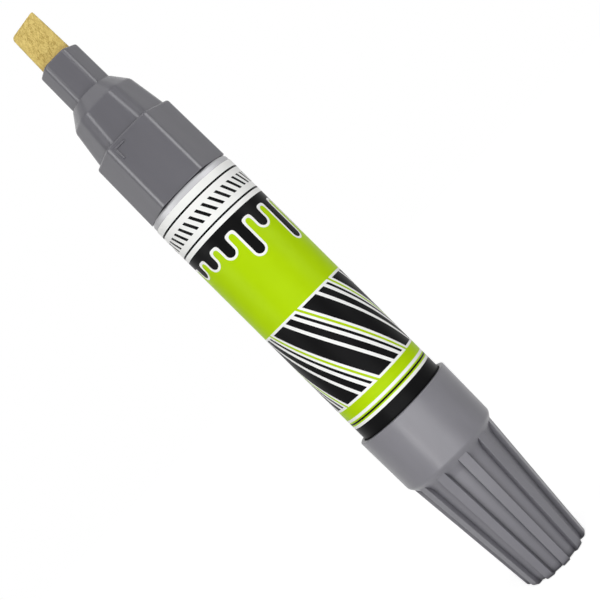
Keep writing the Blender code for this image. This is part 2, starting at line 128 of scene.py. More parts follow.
class Join(Enum):
    """How a tool's volume is combined with a piece."""

    ADD = "UNION"
    CUT = "DIFFERENCE"


class Ink(Enum):
    """The label's printing inks."""

    LIME = "#b2d700"
    LIME_SHADE = "#a9cc04"
    WHITE = "#efefed"
    BLACK = "#060607"


class Round(float, Enum):
    """How far back from a plain corner its rounding starts."""

    SHARP = 0.0
    CRISP = 0.1 * MM
    LIGHT = 0.15 * MM
    SMALL = 0.2 * MM
    EASED = 0.25 * MM
    SOFT = 0.3 * MM
    FULL = 0.4 * MM


@dataclass(frozen=True)
class Corner:
    """A corner of an outline beside the axis, and how far back from it its rounding starts."""

    radius: float
    height: float
    soft: float = Round.SHARP


@dataclass(frozen=True)
class Hexagon:
    """A tapered hexagon: where the middle of a flat starts and ends, and the radius of its long edges."""

    low: Corner
    high: Corner
    fillet: float


def linear(hex_colour: str) -> tuple[float, float, float, float]:
    """Turns an sRGB hex colour into a linear one.

    Args:
        hex_colour: Six hex digits after a hash sign.

    Returns:
        Linear red, green, blue and full alpha.
    """
    channels = [int(hex_colour[i:i + 2], 16) / 255 for i in (1, 3, 5)]
    lit = [c / 12.92 if c <= 0.04045 else ((c + 0.055) / 1.055) ** 2.4 for c in channels]
    return (lit[0], lit[1], lit[2], 1.0)


def plug(tree: Tree, node: bpy.types.Node, inputs: Inputs) -> None:
    """Sets or links inputs of a node.

    Args:
        tree: Node tree that holds the node.
        node: Node that takes the inputs.
        inputs: Constant or output socket for each named or numbered input.
    """
    for key, value in inputs.items():
        if isinstance(value, Socket):
            tree.links.new(value, node.inputs[key])
        else:
            node.inputs[key].default_value = value


def add_node(tree: Tree, kind: str, inputs: Inputs, out: str | int = 0, **settings: object) -> Socket:
    """Adds a node with its settings, constants and links.

    Args:
        tree: Node tree that takes the node.
        kind: Node type without its prefix.
        inputs: Constant or output socket for each named or numbered input.
        out: Name or number of the output that is wanted.
        settings: Values of the node's own properties.

    Returns:
        The wanted output.
    """
    node = tree.nodes.new(f"ShaderNode{kind}")
    for key, value in settings.items():
        setattr(node, key, value)
    plug(tree, node, inputs)
    return node.outputs[out]


def activate(piece: Piece) -> None:
    """Makes one piece the only selected and the active object.

    Args:
        piece: The piece.
    """
    bpy.ops.object.select_all(action="DESELECT")
    piece.select_set(True)
    bpy.context.view_layer.objects.active = piece


def start(name: str) -> Piece:
    """Names the primitive just added and settles its place into its mesh.

    Args:
        name: Name of the new piece.

    Returns:
        The piece, open in edit mode with everything selected.
    """
    piece = bpy.context.active_object
    piece.name = name
    bpy.ops.object.transform_apply(location=True, rotation=True, scale=True)
    bpy.ops.object.mode_set(mode="EDIT")
    bpy.ops.mesh.select_mode(type=Domain.VERT.value)
    bpy.ops.mesh.select_all(action="SELECT")
    return piece


def pick(piece: Piece, domain: Domain, test: Test) -> None:
    """Selects what passes a test in the piece that is open in edit mode.

    Args:
        piece: Piece being edited.
        domain: Vertices, edges or faces.
        test: Says whether an element is selected.
    """
    bpy.ops.mesh.select_mode(type=domain.value)
    bpy.ops.mesh.select_all(action="DESELECT")
    form = bmesh.from_edit_mesh(piece.data)
    elements = {Domain.VERT: form.verts, Domain.EDGE: form.edges, Domain.FACE: form.faces}[domain]
    for element in elements:
        if test(element):
            element.select_set(True)
    form.select_flush_mode()
    bmesh.update_edit_mesh(piece.data)


def soften(piece: Piece, test: Test, offset: float, segments: int) -> None:
    """Rounds the edges that pass a test in the piece that is open in edit mode."""
    pick(piece, Domain.EDGE, test)
    bpy.ops.mesh.bevel(offset=offset, segments=segments, affect="EDGES")


def is_upright(edge: bmesh.types.BMEdge) -> bool:
    """Whether an edge's ends lie at different heights."""
    return abs(edge.verts[0].co.z - edge.verts[1].co.z) > WELD


def lies_at(axis: int, place: float) -> Test:
    """Makes a test for edges that lie on a plane square to an axis."""
    return lambda edge: all(abs(vert.co[axis] - place) < WELD for vert in edge.verts)


def extrude(*step: float) -> None:
    """Extrudes the selection of the piece being edited by a step along X, Y and Z."""
    bpy.ops.mesh.extrude_region_move(TRANSFORM_OT_translate={"value": step})


def close_up(piece: Piece) -> Piece:
    """Merges doubles, turns the faces outwards and leaves edit mode.

    Args:
        piece: Piece being edited.

    Returns:
        The same piece.
    """
    bpy.ops.mesh.select_all(action="SELECT")
    bpy.ops.mesh.remove_doubles(threshold=WELD)
    bpy.ops.mesh.normals_make_consistent(inside=False)
    bpy.ops.object.mode_set(mode="OBJECT")
    return piece


def draw(name: str, corners: Sequence[Corner]) -> Piece:
    """Draws an outline in the XZ plane edge by edge and rounds its corners.

    Args:
        name: Name of the new piece.
        corners: Corners in order; the last joins the first unless that lies on the axis.

    Returns:
        The piece, open in edit mode with everything selected.
    """
    first = corners[0]
    bpy.ops.object.select_all(action="DESELECT")
    bpy.ops.mesh.primitive_plane_add(size=MM, location=(first.radius, 0.0, first.height))
    piece = start(name)
    bpy.ops.mesh.merge(type="CENTER")
    route = [*corners, first] if first.radius > 0.0 else corners
    for last, corner in zip(route, route[1:]):
        extrude(corner.radius - last.radius, 0.0, corner.height - last.height)
    bpy.ops.mesh.select_all(action="SELECT")
    bpy.ops.mesh.remove_doubles(threshold=WELD)
    for corner in corners:
        if corner.soft > 0.0:
            place = Vector((corner.radius, 0.0, corner.height))
            pick(piece, Domain.VERT, lambda vert: (vert.co - place).length < WELD)
            bpy.ops.mesh.bevel(offset=corner.soft, segments=SOFT_STEPS, affect="VERTICES")
    bpy.ops.mesh.select_all(action="SELECT")
    return piece


def arc(middle: Corner, radius: float, first: float, sweep: float, steps: int) -> list[Corner]:
    """Sets corners along an arc.

    Args:
        middle: Centre of the arc.
        radius: Its radius.
        first: Angle that it starts at.
        sweep: Angle that it runs through.
        steps: Steps along it.

    Returns:
        The corners, both ends included.
    """
    angles = [first + sweep * i / steps for i in range(steps + 1)]
    outs = [(radius * math.cos(angle), radius * math.sin(angle)) for angle in angles]
    return [Corner(middle.radius + across, middle.height + up) for across, up in outs]


def turn(name: str, corners: Sequence[Corner], steps: int = ROUND_STEPS) -> Piece:
    """Spins an outline once round the axis.

    Args:
        name: Name of the new piece.
        corners: Corners of the outline in order.
        steps: Steps in the full turn.

    Returns:
        The turned piece.
    """
    piece = draw(name, corners)
    bpy.ops.mesh.spin(steps=steps, angle=FULL_TURN, center=CENTRE, axis=(0.0, 0.0, 1.0))
    return close_up(piece)


def block(name: str, middle: Sequence[float], size: Sequence[float]) -> Piece:
    """Adds a box that is then shaped in edit mode.

    Args:
        name: Name of the new piece.
        middle: Its centre.
        size: Its lengths along X, Y and Z.

    Returns:
        The box, open in edit mode with everything selected.
    """
    bpy.ops.object.select_all(action="DESELECT")
    bpy.ops.mesh.primitive_cube_add(size=1.0, location=middle, scale=size)
    return start(name)


def hex_bar(name: str, form: Hexagon) -> Piece:
    """Makes a hexagonal bar with rounded long edges and a flat towards -Y.

    Args:
        name: Name of the new piece.
        form: Its sizes.

    Returns:
        The bar, open in edit mode.
    """
    low, high = form.low, form.high
    bpy.ops.object.select_all(action="DESELECT")
    bpy.ops.mesh.primitive_cone_add(
        vertices=6, radius1=low.radius / math.cos(HEX_HALF), radius2=high.radius / math.cos(HEX_HALF),
        depth=high.height - low.height, location=(0.0, 0.0, (low.height + high.height) / 2),
        rotation=(0.0, 0.0, HEX_HALF),
    )
    piece = start(name)
    soften(piece, is_upright, form.fillet * math.tan(HEX_HALF), FILLET_STEPS)
    return piece


def modify(piece: Piece, kind: str, **settings: object) -> None:
    """Adds a modifier with its settings and applies it.

    Args:
        piece: Piece that takes it.
        kind: Modifier type.
        settings: Values of its properties.
    """
    activate(piece)
    modifier = piece.modifiers.new(kind.lower(), kind)
    for key, value in settings.items():
        setattr(modifier, key, value)
    bpy.ops.object.modifier_apply(modifier=modifier.name)


def combine(piece: Piece, join: Join, tool: Piece) -> None:
    """Combines a tool's volume with a piece and removes the tool."""
    modify(piece, "BOOLEAN", operation=join.value, solver="MANIFOLD", object=tool)
    bpy.data.objects.remove(tool)


@dataclass(frozen=True)
class Finish:
    """A named procedural material; each kind of surface fills in its own nodes."""

    name: str

    def make(self) -> bpy.types.Material:
        """Builds the material the first time that it is asked for.

        Returns:
            The material.
        """
        known = bpy.data.materials.get(self.name)
        if known:
            return known
        material = bpy.data.materials.new(self.name)
        material.use_nodes = True
        tree = material.node_tree
        plug(tree, tree.nodes["Principled BSDF"], self.surface(tree))
        return material

    def surface(self, tree: Tree) -> Inputs:
        """Adds the surface's nodes to a tree and returns the shader's inputs."""
        raise NotImplementedError


@dataclass(frozen=True)
class Moulded(Finish):
    """Injection-moulded plastic: a satin skin with faint flow clouds and a fine grain from the tool steel."""

    colour: str
    shade: str
    roughness: float = 0.42
    roughness_spread: float = 0.06
    ior: float = 1.5
    flow: float = 5.0 * MM
    stretch: float = 0.35
    grain: float = 0.3 * MM
    relief: float = 0.003 * MM
    # Painted shade that ambient occlusion lays into recesses: its colour, reach, share, where it starts and
    # is full, and the gloss left under it
    recess: str = "#3c3b40"
    recess_reach: float = 1.6 * MM
    recess_share: float = 0.75
    recess_start: float = 0.93
    recess_full: float = 0.45
    gloss: float = 0.5
    recess_gloss: float = 0.05
    glow: float = 0.0

    def surface(self, tree: Tree) -> Inputs:
        """Mixes two close tones by flow clouds, roughens the skin with grain and paints shade into its
        recesses, darker and less glossy where ambient occlusion finds them closed in.

        Args:
            tree: Material's node tree.

        Returns:
            The shader's inputs.
        """
        coords = add_node(tree, "TexCoord", {}, out="Object")
        along = add_node(tree, "Mapping", {"Vector": coords, "Scale": (1.0, 1.0, self.stretch)})
        clouds = add_node(tree, "TexNoise", {"Vector": along, "Scale": 1 / self.flow, "Detail": 3.0})
        # Tool grain is near 0.1 mm; it is drawn three times as coarse so that it shows
        grain = add_node(tree, "TexNoise", {"Vector": coords, "Scale": 1 / self.grain, "Detail": 2.0})
        tone = add_node(tree, "MapRange", {"Value": clouds, "From Min": 0.35, "From Max": 0.65})
        tones = {0: tone, 6: linear(self.shade), 7: linear(self.colour)}
        skin = add_node(tree, "Mix", tones, out=2, data_type="RGBA")
        # Painted shade: ambient occlusion darkens corners and recesses and takes gloss out of them
        air = add_node(tree, "AmbientOcclusion", {"Distance": self.recess_reach}, out="AO", samples=8)
        painted_shade = add_node(tree, "MapRange", {
            "Value": air, "From Min": self.recess_start, "From Max": self.recess_full,
            "To Max": self.recess_share,
        })
        shaded_tones = {0: painted_shade, 6: skin, 7: linear(self.recess)}
        return {
            "Base Color": add_node(tree, "Mix", shaded_tones, out=2, data_type="RGBA"),
            "Roughness": add_node(tree, "MapRange", {
                "Value": grain,
                "To Min": self.roughness - self.roughness_spread,
                "To Max": self.roughness + self.roughness_spread,
            }),
            "Normal": add_node(tree, "Bump", {"Height": grain, "Strength": 0.6, "Distance": self.relief}),
            "Specular IOR Level": add_node(tree, "MapRange", {
                "Value": painted_shade, "To Min": self.gloss, "To Max": self.recess_gloss,
            }),
            "IOR": self.ior,
            "Subsurface Weight": self.glow,
            "Subsurface Radius": (MM, MM, MM),
        }


@dataclass(frozen=True)
class Textured(Finish):
    """One fine texture that varies the whole surface: lines round drawn metal, or a bloom on rubber."""

    colour: str
    shade: str
    roughness: float = 0.26
    roughness_spread: float = 0.08
    grain: float = 0.25 * MM
    squeeze: float = 0.02
    relief: float = 0.004 * MM
    metallic: float = 1.0

    def surface(self, tree: Tree) -> Inputs:
        """Draws the texture, squeezed into lines by height, and lets it vary tone, gloss and relief.

        Args:
            tree: Material's node tree.

        Returns:
            The shader's inputs.
        """
        coords = add_node(tree, "TexCoord", {}, out="Object")
        # Die lines are a few hundredths of a millimetre apart; they are drawn coarser so that they show
        level = add_node(tree, "Mapping", {"Vector": coords, "Scale": (self.squeeze, self.squeeze, 1.0)})
        texture = add_node(tree, "TexNoise", {"Vector": level, "Scale": 1 / self.grain, "Detail": 4.0})
        tones = {0: texture, 6: linear(self.shade), 7: linear(self.colour)}
        return {
            "Base Color": add_node(tree, "Mix", tones, out=2, data_type="RGBA"),
            "Roughness": add_node(tree, "MapRange", {
                "Value": texture,
                "To Min": self.roughness - self.roughness_spread,
                "To Max": self.roughness + self.roughness_spread,
            }),
            "Normal": add_node(tree, "Bump", {"Height": texture, "Strength": 0.5, "Distance": self.relief}),
            "Metallic": self.metallic,
        }


@dataclass(frozen=True)
class RolledCan(Textured):
    """Drawn aluminium whose lip, just under the nose collar, is darkened with painted shade."""

    # Colour of the painted shade on the lip, the height where it is full and how far below it fades in
    lip_shade: str = "#a0a0a2"
    lip: float = 100.45 * MM
    fade: float = 0.2 * MM

    def surface(self, tree: Tree) -> Inputs:
        """Darkens the drawn metal above the lip's edge with painted shade.

        Args:
            tree: Material's node tree.

        Returns:
            The shader's inputs.
        """
        inputs = super().surface(tree)
        coords = add_node(tree, "TexCoord", {}, out="Object")
        height = add_node(tree, "SeparateXYZ", {"Vector": coords}, out="Z")
        # Painted shade: full above the lip's edge, fading in over the span below it
        rolled = add_node(tree, "MapRange", {
            "Value": height, "From Min": self.lip - self.fade, "From Max": self.lip,
        })
        tones = {0: rolled, 6: inputs["Base Color"], 7: linear(self.lip_shade)}
        inputs["Base Color"] = add_node(tree, "Mix", tones, out=2, data_type="RGBA")
        return inputs


@dataclass(frozen=True)
class PressedFelt(Finish):
    """Pressed polyester felt: pale straw and matt, a tangle of fibres with painted shade in the dips between
    them and painted highlights on their crests.
    """

    colour: str = "#d2b96c"
    # Colours of the painted highlights on the fibres' crests and the painted shade in the dips between them;
    # the noise levels where each starts and is full follow below
    ridge_highlight: str = "#e0cb80"
    hollow_shade: str = "#a18240"
    # Colour of the painted shadow and ink soaking at the mouth
    soak_and_shadow: str = "#b39759"
    fibre: float = 0.32 * MM
    stretch: float = 2.2
    lay: float = math.radians(14)
    hollow_shade_start: float = 0.52
    hollow_shade_full: float = 0.37
    ridge_highlight_start: float = 0.48
    ridge_highlight_full: float = 0.64
    # The painted shade in the dips eases from the middle share to the edge share at the pressed edges
    clear_edge: float = 1.9 * MM
    clear_fade: float = 1.0 * MM
    middle_share: float = 0.9
    edge_share: float = 0.2
    # Painted shadow and ink soaking darken the felt over this length from the mouth, up to this share
    mouth: float = 136.5 * MM
    soak_and_shadow_length: float = 1.8 * MM
    soak_and_shadow_share: float = 0.75
    relief: float = 0.05 * MM

    def surface(self, tree: Tree) -> Inputs:
        """Tangles fibres as warped noise, paints shade into the dips between them and highlights onto their
        crests, calms the painted shade at the pressed edges and darkens the mouth end with painted shadow and
        ink soaking.

        Args:
            tree: Material's node tree.

        Returns:
            The shader's inputs.
        """
        coords = add_node(tree, "TexCoord", {}, out="Object")
        parts = add_node(tree, "SeparateXYZ", {"Vector": coords}).node.outputs
        laid = add_node(tree, "Mapping", {
            "Vector": coords, "Rotation": (0.0, self.lay, 0.0), "Scale": (1.0, 1.0, self.stretch),
        }, vector_type="TEXTURE")
        fibres = add_node(tree, "TexNoise", {
            "Vector": laid, "Scale": 1 / self.fibre, "Detail": 5.0, "Roughness": 0.7, "Distortion": 1.1,
        })
        side = add_node(tree, "Math", {0: parts["X"]}, operation="ABSOLUTE")
        # Painted shade in the fibres' dips is strongest in the middle and eases off towards the pressed edges
        loose = add_node(tree, "MapRange", {
            "Value": side, "From Min": self.clear_edge, "From Max": self.clear_edge + self.clear_fade,
            "To Min": self.middle_share, "To Max": self.edge_share,
        })
        # Painted shade in the fibres' dips and painted highlights on their crests follow the fibre noise that
        # also bumps the surface
        deep = add_node(tree, "MapRange", {
            "Value": fibres, "From Min": self.hollow_shade_start, "From Max": self.hollow_shade_full,
        })
        hollow_shade_mask = add_node(tree, "Math", {0: deep, 1: loose}, operation="MULTIPLY")
        ridge_highlight_mask = add_node(tree, "MapRange", {
            "Value": fibres, "From Min": self.ridge_highlight_start, "From Max": self.ridge_highlight_full,
        })
        # Painted shadow and ink soaking: darker towards the mouth, where the nib goes into the tip
        soak_and_shadow_mask = add_node(tree, "MapRange", {
            "Value": parts["Z"], "From Min": self.mouth + self.soak_and_shadow_length, "From Max": self.mouth,
            "To Max": self.soak_and_shadow_share,
        }, interpolation_type="SMOOTHSTEP")
        colour = linear(self.colour)
        for share, tone in ((ridge_highlight_mask, self.ridge_highlight), (hollow_shade_mask, self.hollow_shade), (soak_and_shadow_mask, self.soak_and_shadow)):
            colour = add_node(tree, "Mix", {0: share, 6: colour, 7: linear(tone)}, out=2, data_type="RGBA")
        return {
            "Base Color": colour,
            "Normal": add_node(tree, "Bump", {"Height": fibres, "Strength": 0.8, "Distance": self.relief}),
            "Roughness": 0.92,
            "Specular IOR Level": 0.2,
            "Sheen Weight": 0.05,
            "Sheen Roughness": 0.5,
        }


@dataclass(frozen=True)
class Ring:
    """A printed ring: the height of its middle and half its width in millimetres, and its ink."""

    middle: float
    half: float
    ink: Ink


@dataclass(frozen=True)
class Stripes:
    """A printed row of slanted stripes, with its heights in millimetres.

    Each stripe has its middle and half its width as shares of a set.
    """

    sets: int
    middle: float
    reach: float
    each: tuple[tuple[float, float], ...]


@dataclass(frozen=True)
class PrintedFilm(Finish):
    """Gloss polypropylene film printed in lime, black and white: flat inks under a clear varnish.

    The print is laid out in millimetres round the barrel and up it.
    """

    radius: float = 10.0
    cloud: float = 10.0 * MM
    relief: float = 0.05 * MM
    drip_count: int = 14
    drip_edge: float = 88.9
    drip_half: float = 1.05
    drip_short: float = 1.6
    drip_long: float = 9.5
    drip_blend: float = 1.4
    outline: float = 0.5
    slant: float = math.radians(28)
    bars: Stripes = Stripes(7, 59.8, 9.5, ((0.30, 0.20), (0.67, 0.085), (0.88, 0.035)))
    ticks: Stripes = Stripes(36, 94.75, 1.35, ((0.5, 0.2063),))
    rings: tuple[Ring, ...] = (
        Ring(95.2, 4.5, Ink.WHITE),
        Ring(97.6, 0.2, Ink.BLACK),
        Ring(91.9, 0.2, Ink.BLACK),
        Ring(47.3, 0.3, Ink.WHITE),
        Ring(46.5, 0.2, Ink.BLACK),
        Ring(45.7, 0.3, Ink.WHITE),
        Ring(40.3, 5.1, Ink.BLACK),
        Ring(33.3, 2.0, Ink.WHITE),
    )

    def surface(self, tree: Tree) -> Inputs:
        """Lays the printed inks over the lime field in order, then varnishes them.

        Args:
            tree: Material's node tree.

        Returns:
            The shader's inputs.
        """
        coords = add_node(tree, "TexCoord", {}, out="Object")
        parts = add_node(tree, "SeparateXYZ", {"Vector": coords}).node.outputs
        front = add_node(tree, "Math", {0: parts["Y"], 1: -1.0}, operation="MULTIPLY")
        angle = add_node(tree, "Math", {0: parts["X"], 1: front}, operation="ARCTAN2")
        around = add_node(tree, "Math", {0: angle, 1: self.radius}, operation="MULTIPLY")
        height = add_node(tree, "Math", {0: parts["Z"], 1: 1 / MM}, operation="MULTIPLY")
        clouds = add_node(tree, "TexNoise", {"Vector": coords, "Scale": 1 / self.cloud, "Detail": 2.0})
        limes = {0: clouds, 6: linear(Ink.LIME.value), 7: linear(Ink.LIME_SHADE.value)}
        colour = add_node(tree, "Mix", limes, out=2, data_type="RGBA")
        bars = self.measure_stripes(tree, around, height, self.bars)
        drips = self.measure_drips(tree, around, height)
        ticks = self.measure_stripes(tree, around, height, self.ticks)
        layers = [
            (Ink.WHITE, "LESS_THAN", {0: bars, 1: self.outline}),
            (Ink.BLACK, "LESS_THAN", {0: bars, 1: 0.0}),
            (Ink.WHITE, "LESS_THAN", {0: drips, 1: self.outline}),
            (Ink.BLACK, "LESS_THAN", {0: drips, 1: 0.0}),
            *((ring.ink, "COMPARE", {0: height, 1: ring.middle, 2: ring.half}) for ring in self.rings),
            (Ink.BLACK, "LESS_THAN", {0: ticks, 1: 0.0}),
        ]
        for ink, test, inputs in layers:
            mask = add_node(tree, "Math", inputs, operation=test)
            inked = {0: mask, 6: colour, 7: linear(ink.value)}
            colour = add_node(tree, "Mix", inked, out=2, data_type="RGBA")
        return {
            "Base Color": colour,
            "Normal": add_node(tree, "Bump", {"Height": clouds, "Strength": 0.3, "Distance": self.relief}),
            "Roughness": 0.36,
            "IOR": 1.49,
            "Specular IOR Level": 0.06,
        }

    def measure_drips(self, tree: Tree, around: Socket, height: Socket) -> Socket:
        """Measures from a ring of paint that runs down in drips of different lengths.

        Args:
            tree: Material's node tree.
            around: Distance round the barrel.
            height: Height.

        Returns:
            Distance from the paint's edge, negative inside it.
        """
        pitch = FULL_TURN * self.radius / self.drip_count
        place = add_node(tree, "Math", {0: around, 1: pitch}, operation="DIVIDE")
        cell = add_node(tree, "Math", {0: place}, operation="FLOOR")
        share = add_node(tree, "Math", {0: place}, operation="FRACT")
        local = add_node(tree, "MapRange", {"Value": share, "To Min": -pitch / 2, "To Max": pitch / 2})
        luck = add_node(tree, "TexWhiteNoise", {"W": cell}, noise_dimensions="1D")
        tip = add_node(tree, "MapRange", {
            "Value": luck,
            "To Min": self.drip_edge - self.drip_short,
            "To Max": self.drip_edge - self.drip_long,
        })
        over = add_node(tree, "Math", {0: height, 1: tip}, operation="SUBTRACT")
        below = add_node(tree, "Math", {0: over, 1: 0.0}, operation="MINIMUM")
        reach = add_node(tree, "CombineXYZ", {"X": local, "Y": below})
        length = add_node(tree, "VectorMath", {0: reach}, out="Value", operation="LENGTH")
        drop = add_node(tree, "Math", {0: length, 1: self.drip_half}, operation="SUBTRACT")
        band = add_node(tree, "Math", {0: self.drip_edge, 1: height}, operation="SUBTRACT")
        return add_node(tree, "Math", {0: drop, 1: band, 2: self.drip_blend}, operation="SMOOTH_MIN")

    def measure_stripes(self, tree: Tree, around: Socket, height: Socket, row: Stripes) -> Socket:
        """Measures from a row of slanted stripes.

        Args:
            tree: Material's node tree.
            around: Distance round the barrel.
            height: Height.
            row: Row that is measured.

        Returns:
            Distance from the nearest stripe, negative inside it.
        """
        pitch = FULL_TURN * self.radius / row.sets
        square = pitch * math.cos(self.slant)
        slope = {0: height, 1: math.tan(self.slant), 2: around}
        slid = add_node(tree, "Math", slope, operation="MULTIPLY_ADD")
        sets = add_node(tree, "Math", {0: slid, 1: pitch}, operation="DIVIDE")
        share = add_node(tree, "Math", {0: sets}, operation="FRACT")
        nearest = pitch
        for middle, half in row.each:
            off = add_node(tree, "Math", {0: share, 1: middle}, operation="SUBTRACT")
            away = add_node(tree, "Math", {0: off}, operation="ABSOLUTE")
            stripe = add_node(tree, "Math", {0: away, 1: square, 2: -half * square}, operation="MULTIPLY_ADD")
            nearest = add_node(tree, "Math", {0: nearest, 1: stripe}, operation="MINIMUM")
        rise = add_node(tree, "Math", {0: height, 1: row.middle}, operation="SUBTRACT")
        apart = add_node(tree, "Math", {0: rise}, operation="ABSOLUTE")
        ends = add_node(tree, "Math", {0: apart, 1: row.reach}, operation="SUBTRACT")
        return add_node(tree, "Math", {0: nearest, 1: ends}, operation="MAXIMUM")


# Moulded in ABS: mid grey with a cool cast, satin, so the hexagon's edges catch a soft line of light; faint
# painted shade in its corners
NOSE_ABS = Moulded(
    "moulded_ABS_grey", colour="#5e5d63", shade="#5a595f", roughness=0.22, roughness_spread=0.02,
    relief=0.0006 * MM, recess_share=0.2,
)
# Moulded in polypropylene: a lighter grey than the nose and a little waxier, with dark painted shade in its
# grooves
CAP_POLYPROPYLENE = Moulded(
    "moulded_polypropylene_grey", colour="#76757b", shade="#717076", roughness=0.34, relief=0.0015 * MM,
    recess="#2b2a2f", recess_reach=1.8 * MM,
)
# Moulded in natural polyethylene: milky, soft-edged light, with pale painted shade in its corners
LINER_POLYETHYLENE = Moulded(
    "moulded_polyethylene_natural", colour="#e6e5df", shade="#dcdbd4", roughness=0.5, recess="#b5b4ae",
    glow=0.3,
)
# Moulded in acetal: dense white with a slippery satin, with pale painted shade in its corners
VALVE_ACETAL = Moulded(
    "moulded_acetal_white", colour="#e9e8e2", shade="#e1e0da", roughness=0.32, recess="#b9b8b2"
)
# Deep drawn and trimmed: bright aluminium with faint lines round the can and painted shade on its lip
CAN_ALUMINIUM = RolledCan("drawn_aluminium", colour="#a8a8aa", shade="#9c9c9e", roughness=0.55)
# Cold drawn wire: brighter and harder-edged than the can
SPRING_STEEL = Textured("drawn_stainless_wire", colour="#c9c8c5", shade="#b3b2b0", grain=0.12 * MM)
# Ground and polished bearing ball: near mirror
BALL_STEEL = Textured(
    "polished_chrome_steel", colour="#cfd0d2", shade="#c4c5c8", roughness=0.1, roughness_spread=0.03
)
# Printed flat, varnished and wrapped round the can: even inks with sharp edges
LABEL_FILM = PrintedFilm("printed_polypropylene_film")
# Pressed from loose fibre and cut to shape: matt and a little hairy
NIB_FELT = PressedFelt("pressed_polyester_felt")
# Moulded in nitrile rubber and left as it came from the tool: matt, near black, with a faint bloom
SEAL_RUBBER = Textured(
    "moulded_nitrile_rubber", colour="#2c2c2e", shade="#1d1d1f", roughness=0.65, roughness_spread=0.1,
    grain=1.2 * MM, squeeze=1.0, relief=0.0, metallic=0.0,
)


def dress(piece: Piece, finish: Finish, body: Body, slot: Slot, *nodes: str) -> Piece:
    """Shades a piece, gives it its finish and hangs it on its body.

    Args:
        piece: Finished piece.
        finish: What it is made of.
        body: Body that it rides on.
        slot: Not used.
        nodes: Solids that it stands for.

    Returns:
        The same piece.
    """
    activate(piece)
    bpy.ops.object.shade_smooth_by_angle(angle=SMOOTH_ANGLE)
    # Large faces keep their own direction, so only the fillets between them shade round
    modify(piece, "WEIGHTED_NORMAL", keep_sharp=True)
    # A Boolean leaves an empty material slot behind
    piece.data.materials.clear()
    piece.data.materials.append(finish.make())
    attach(piece, body.value)
    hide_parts(*nodes)
    return piece


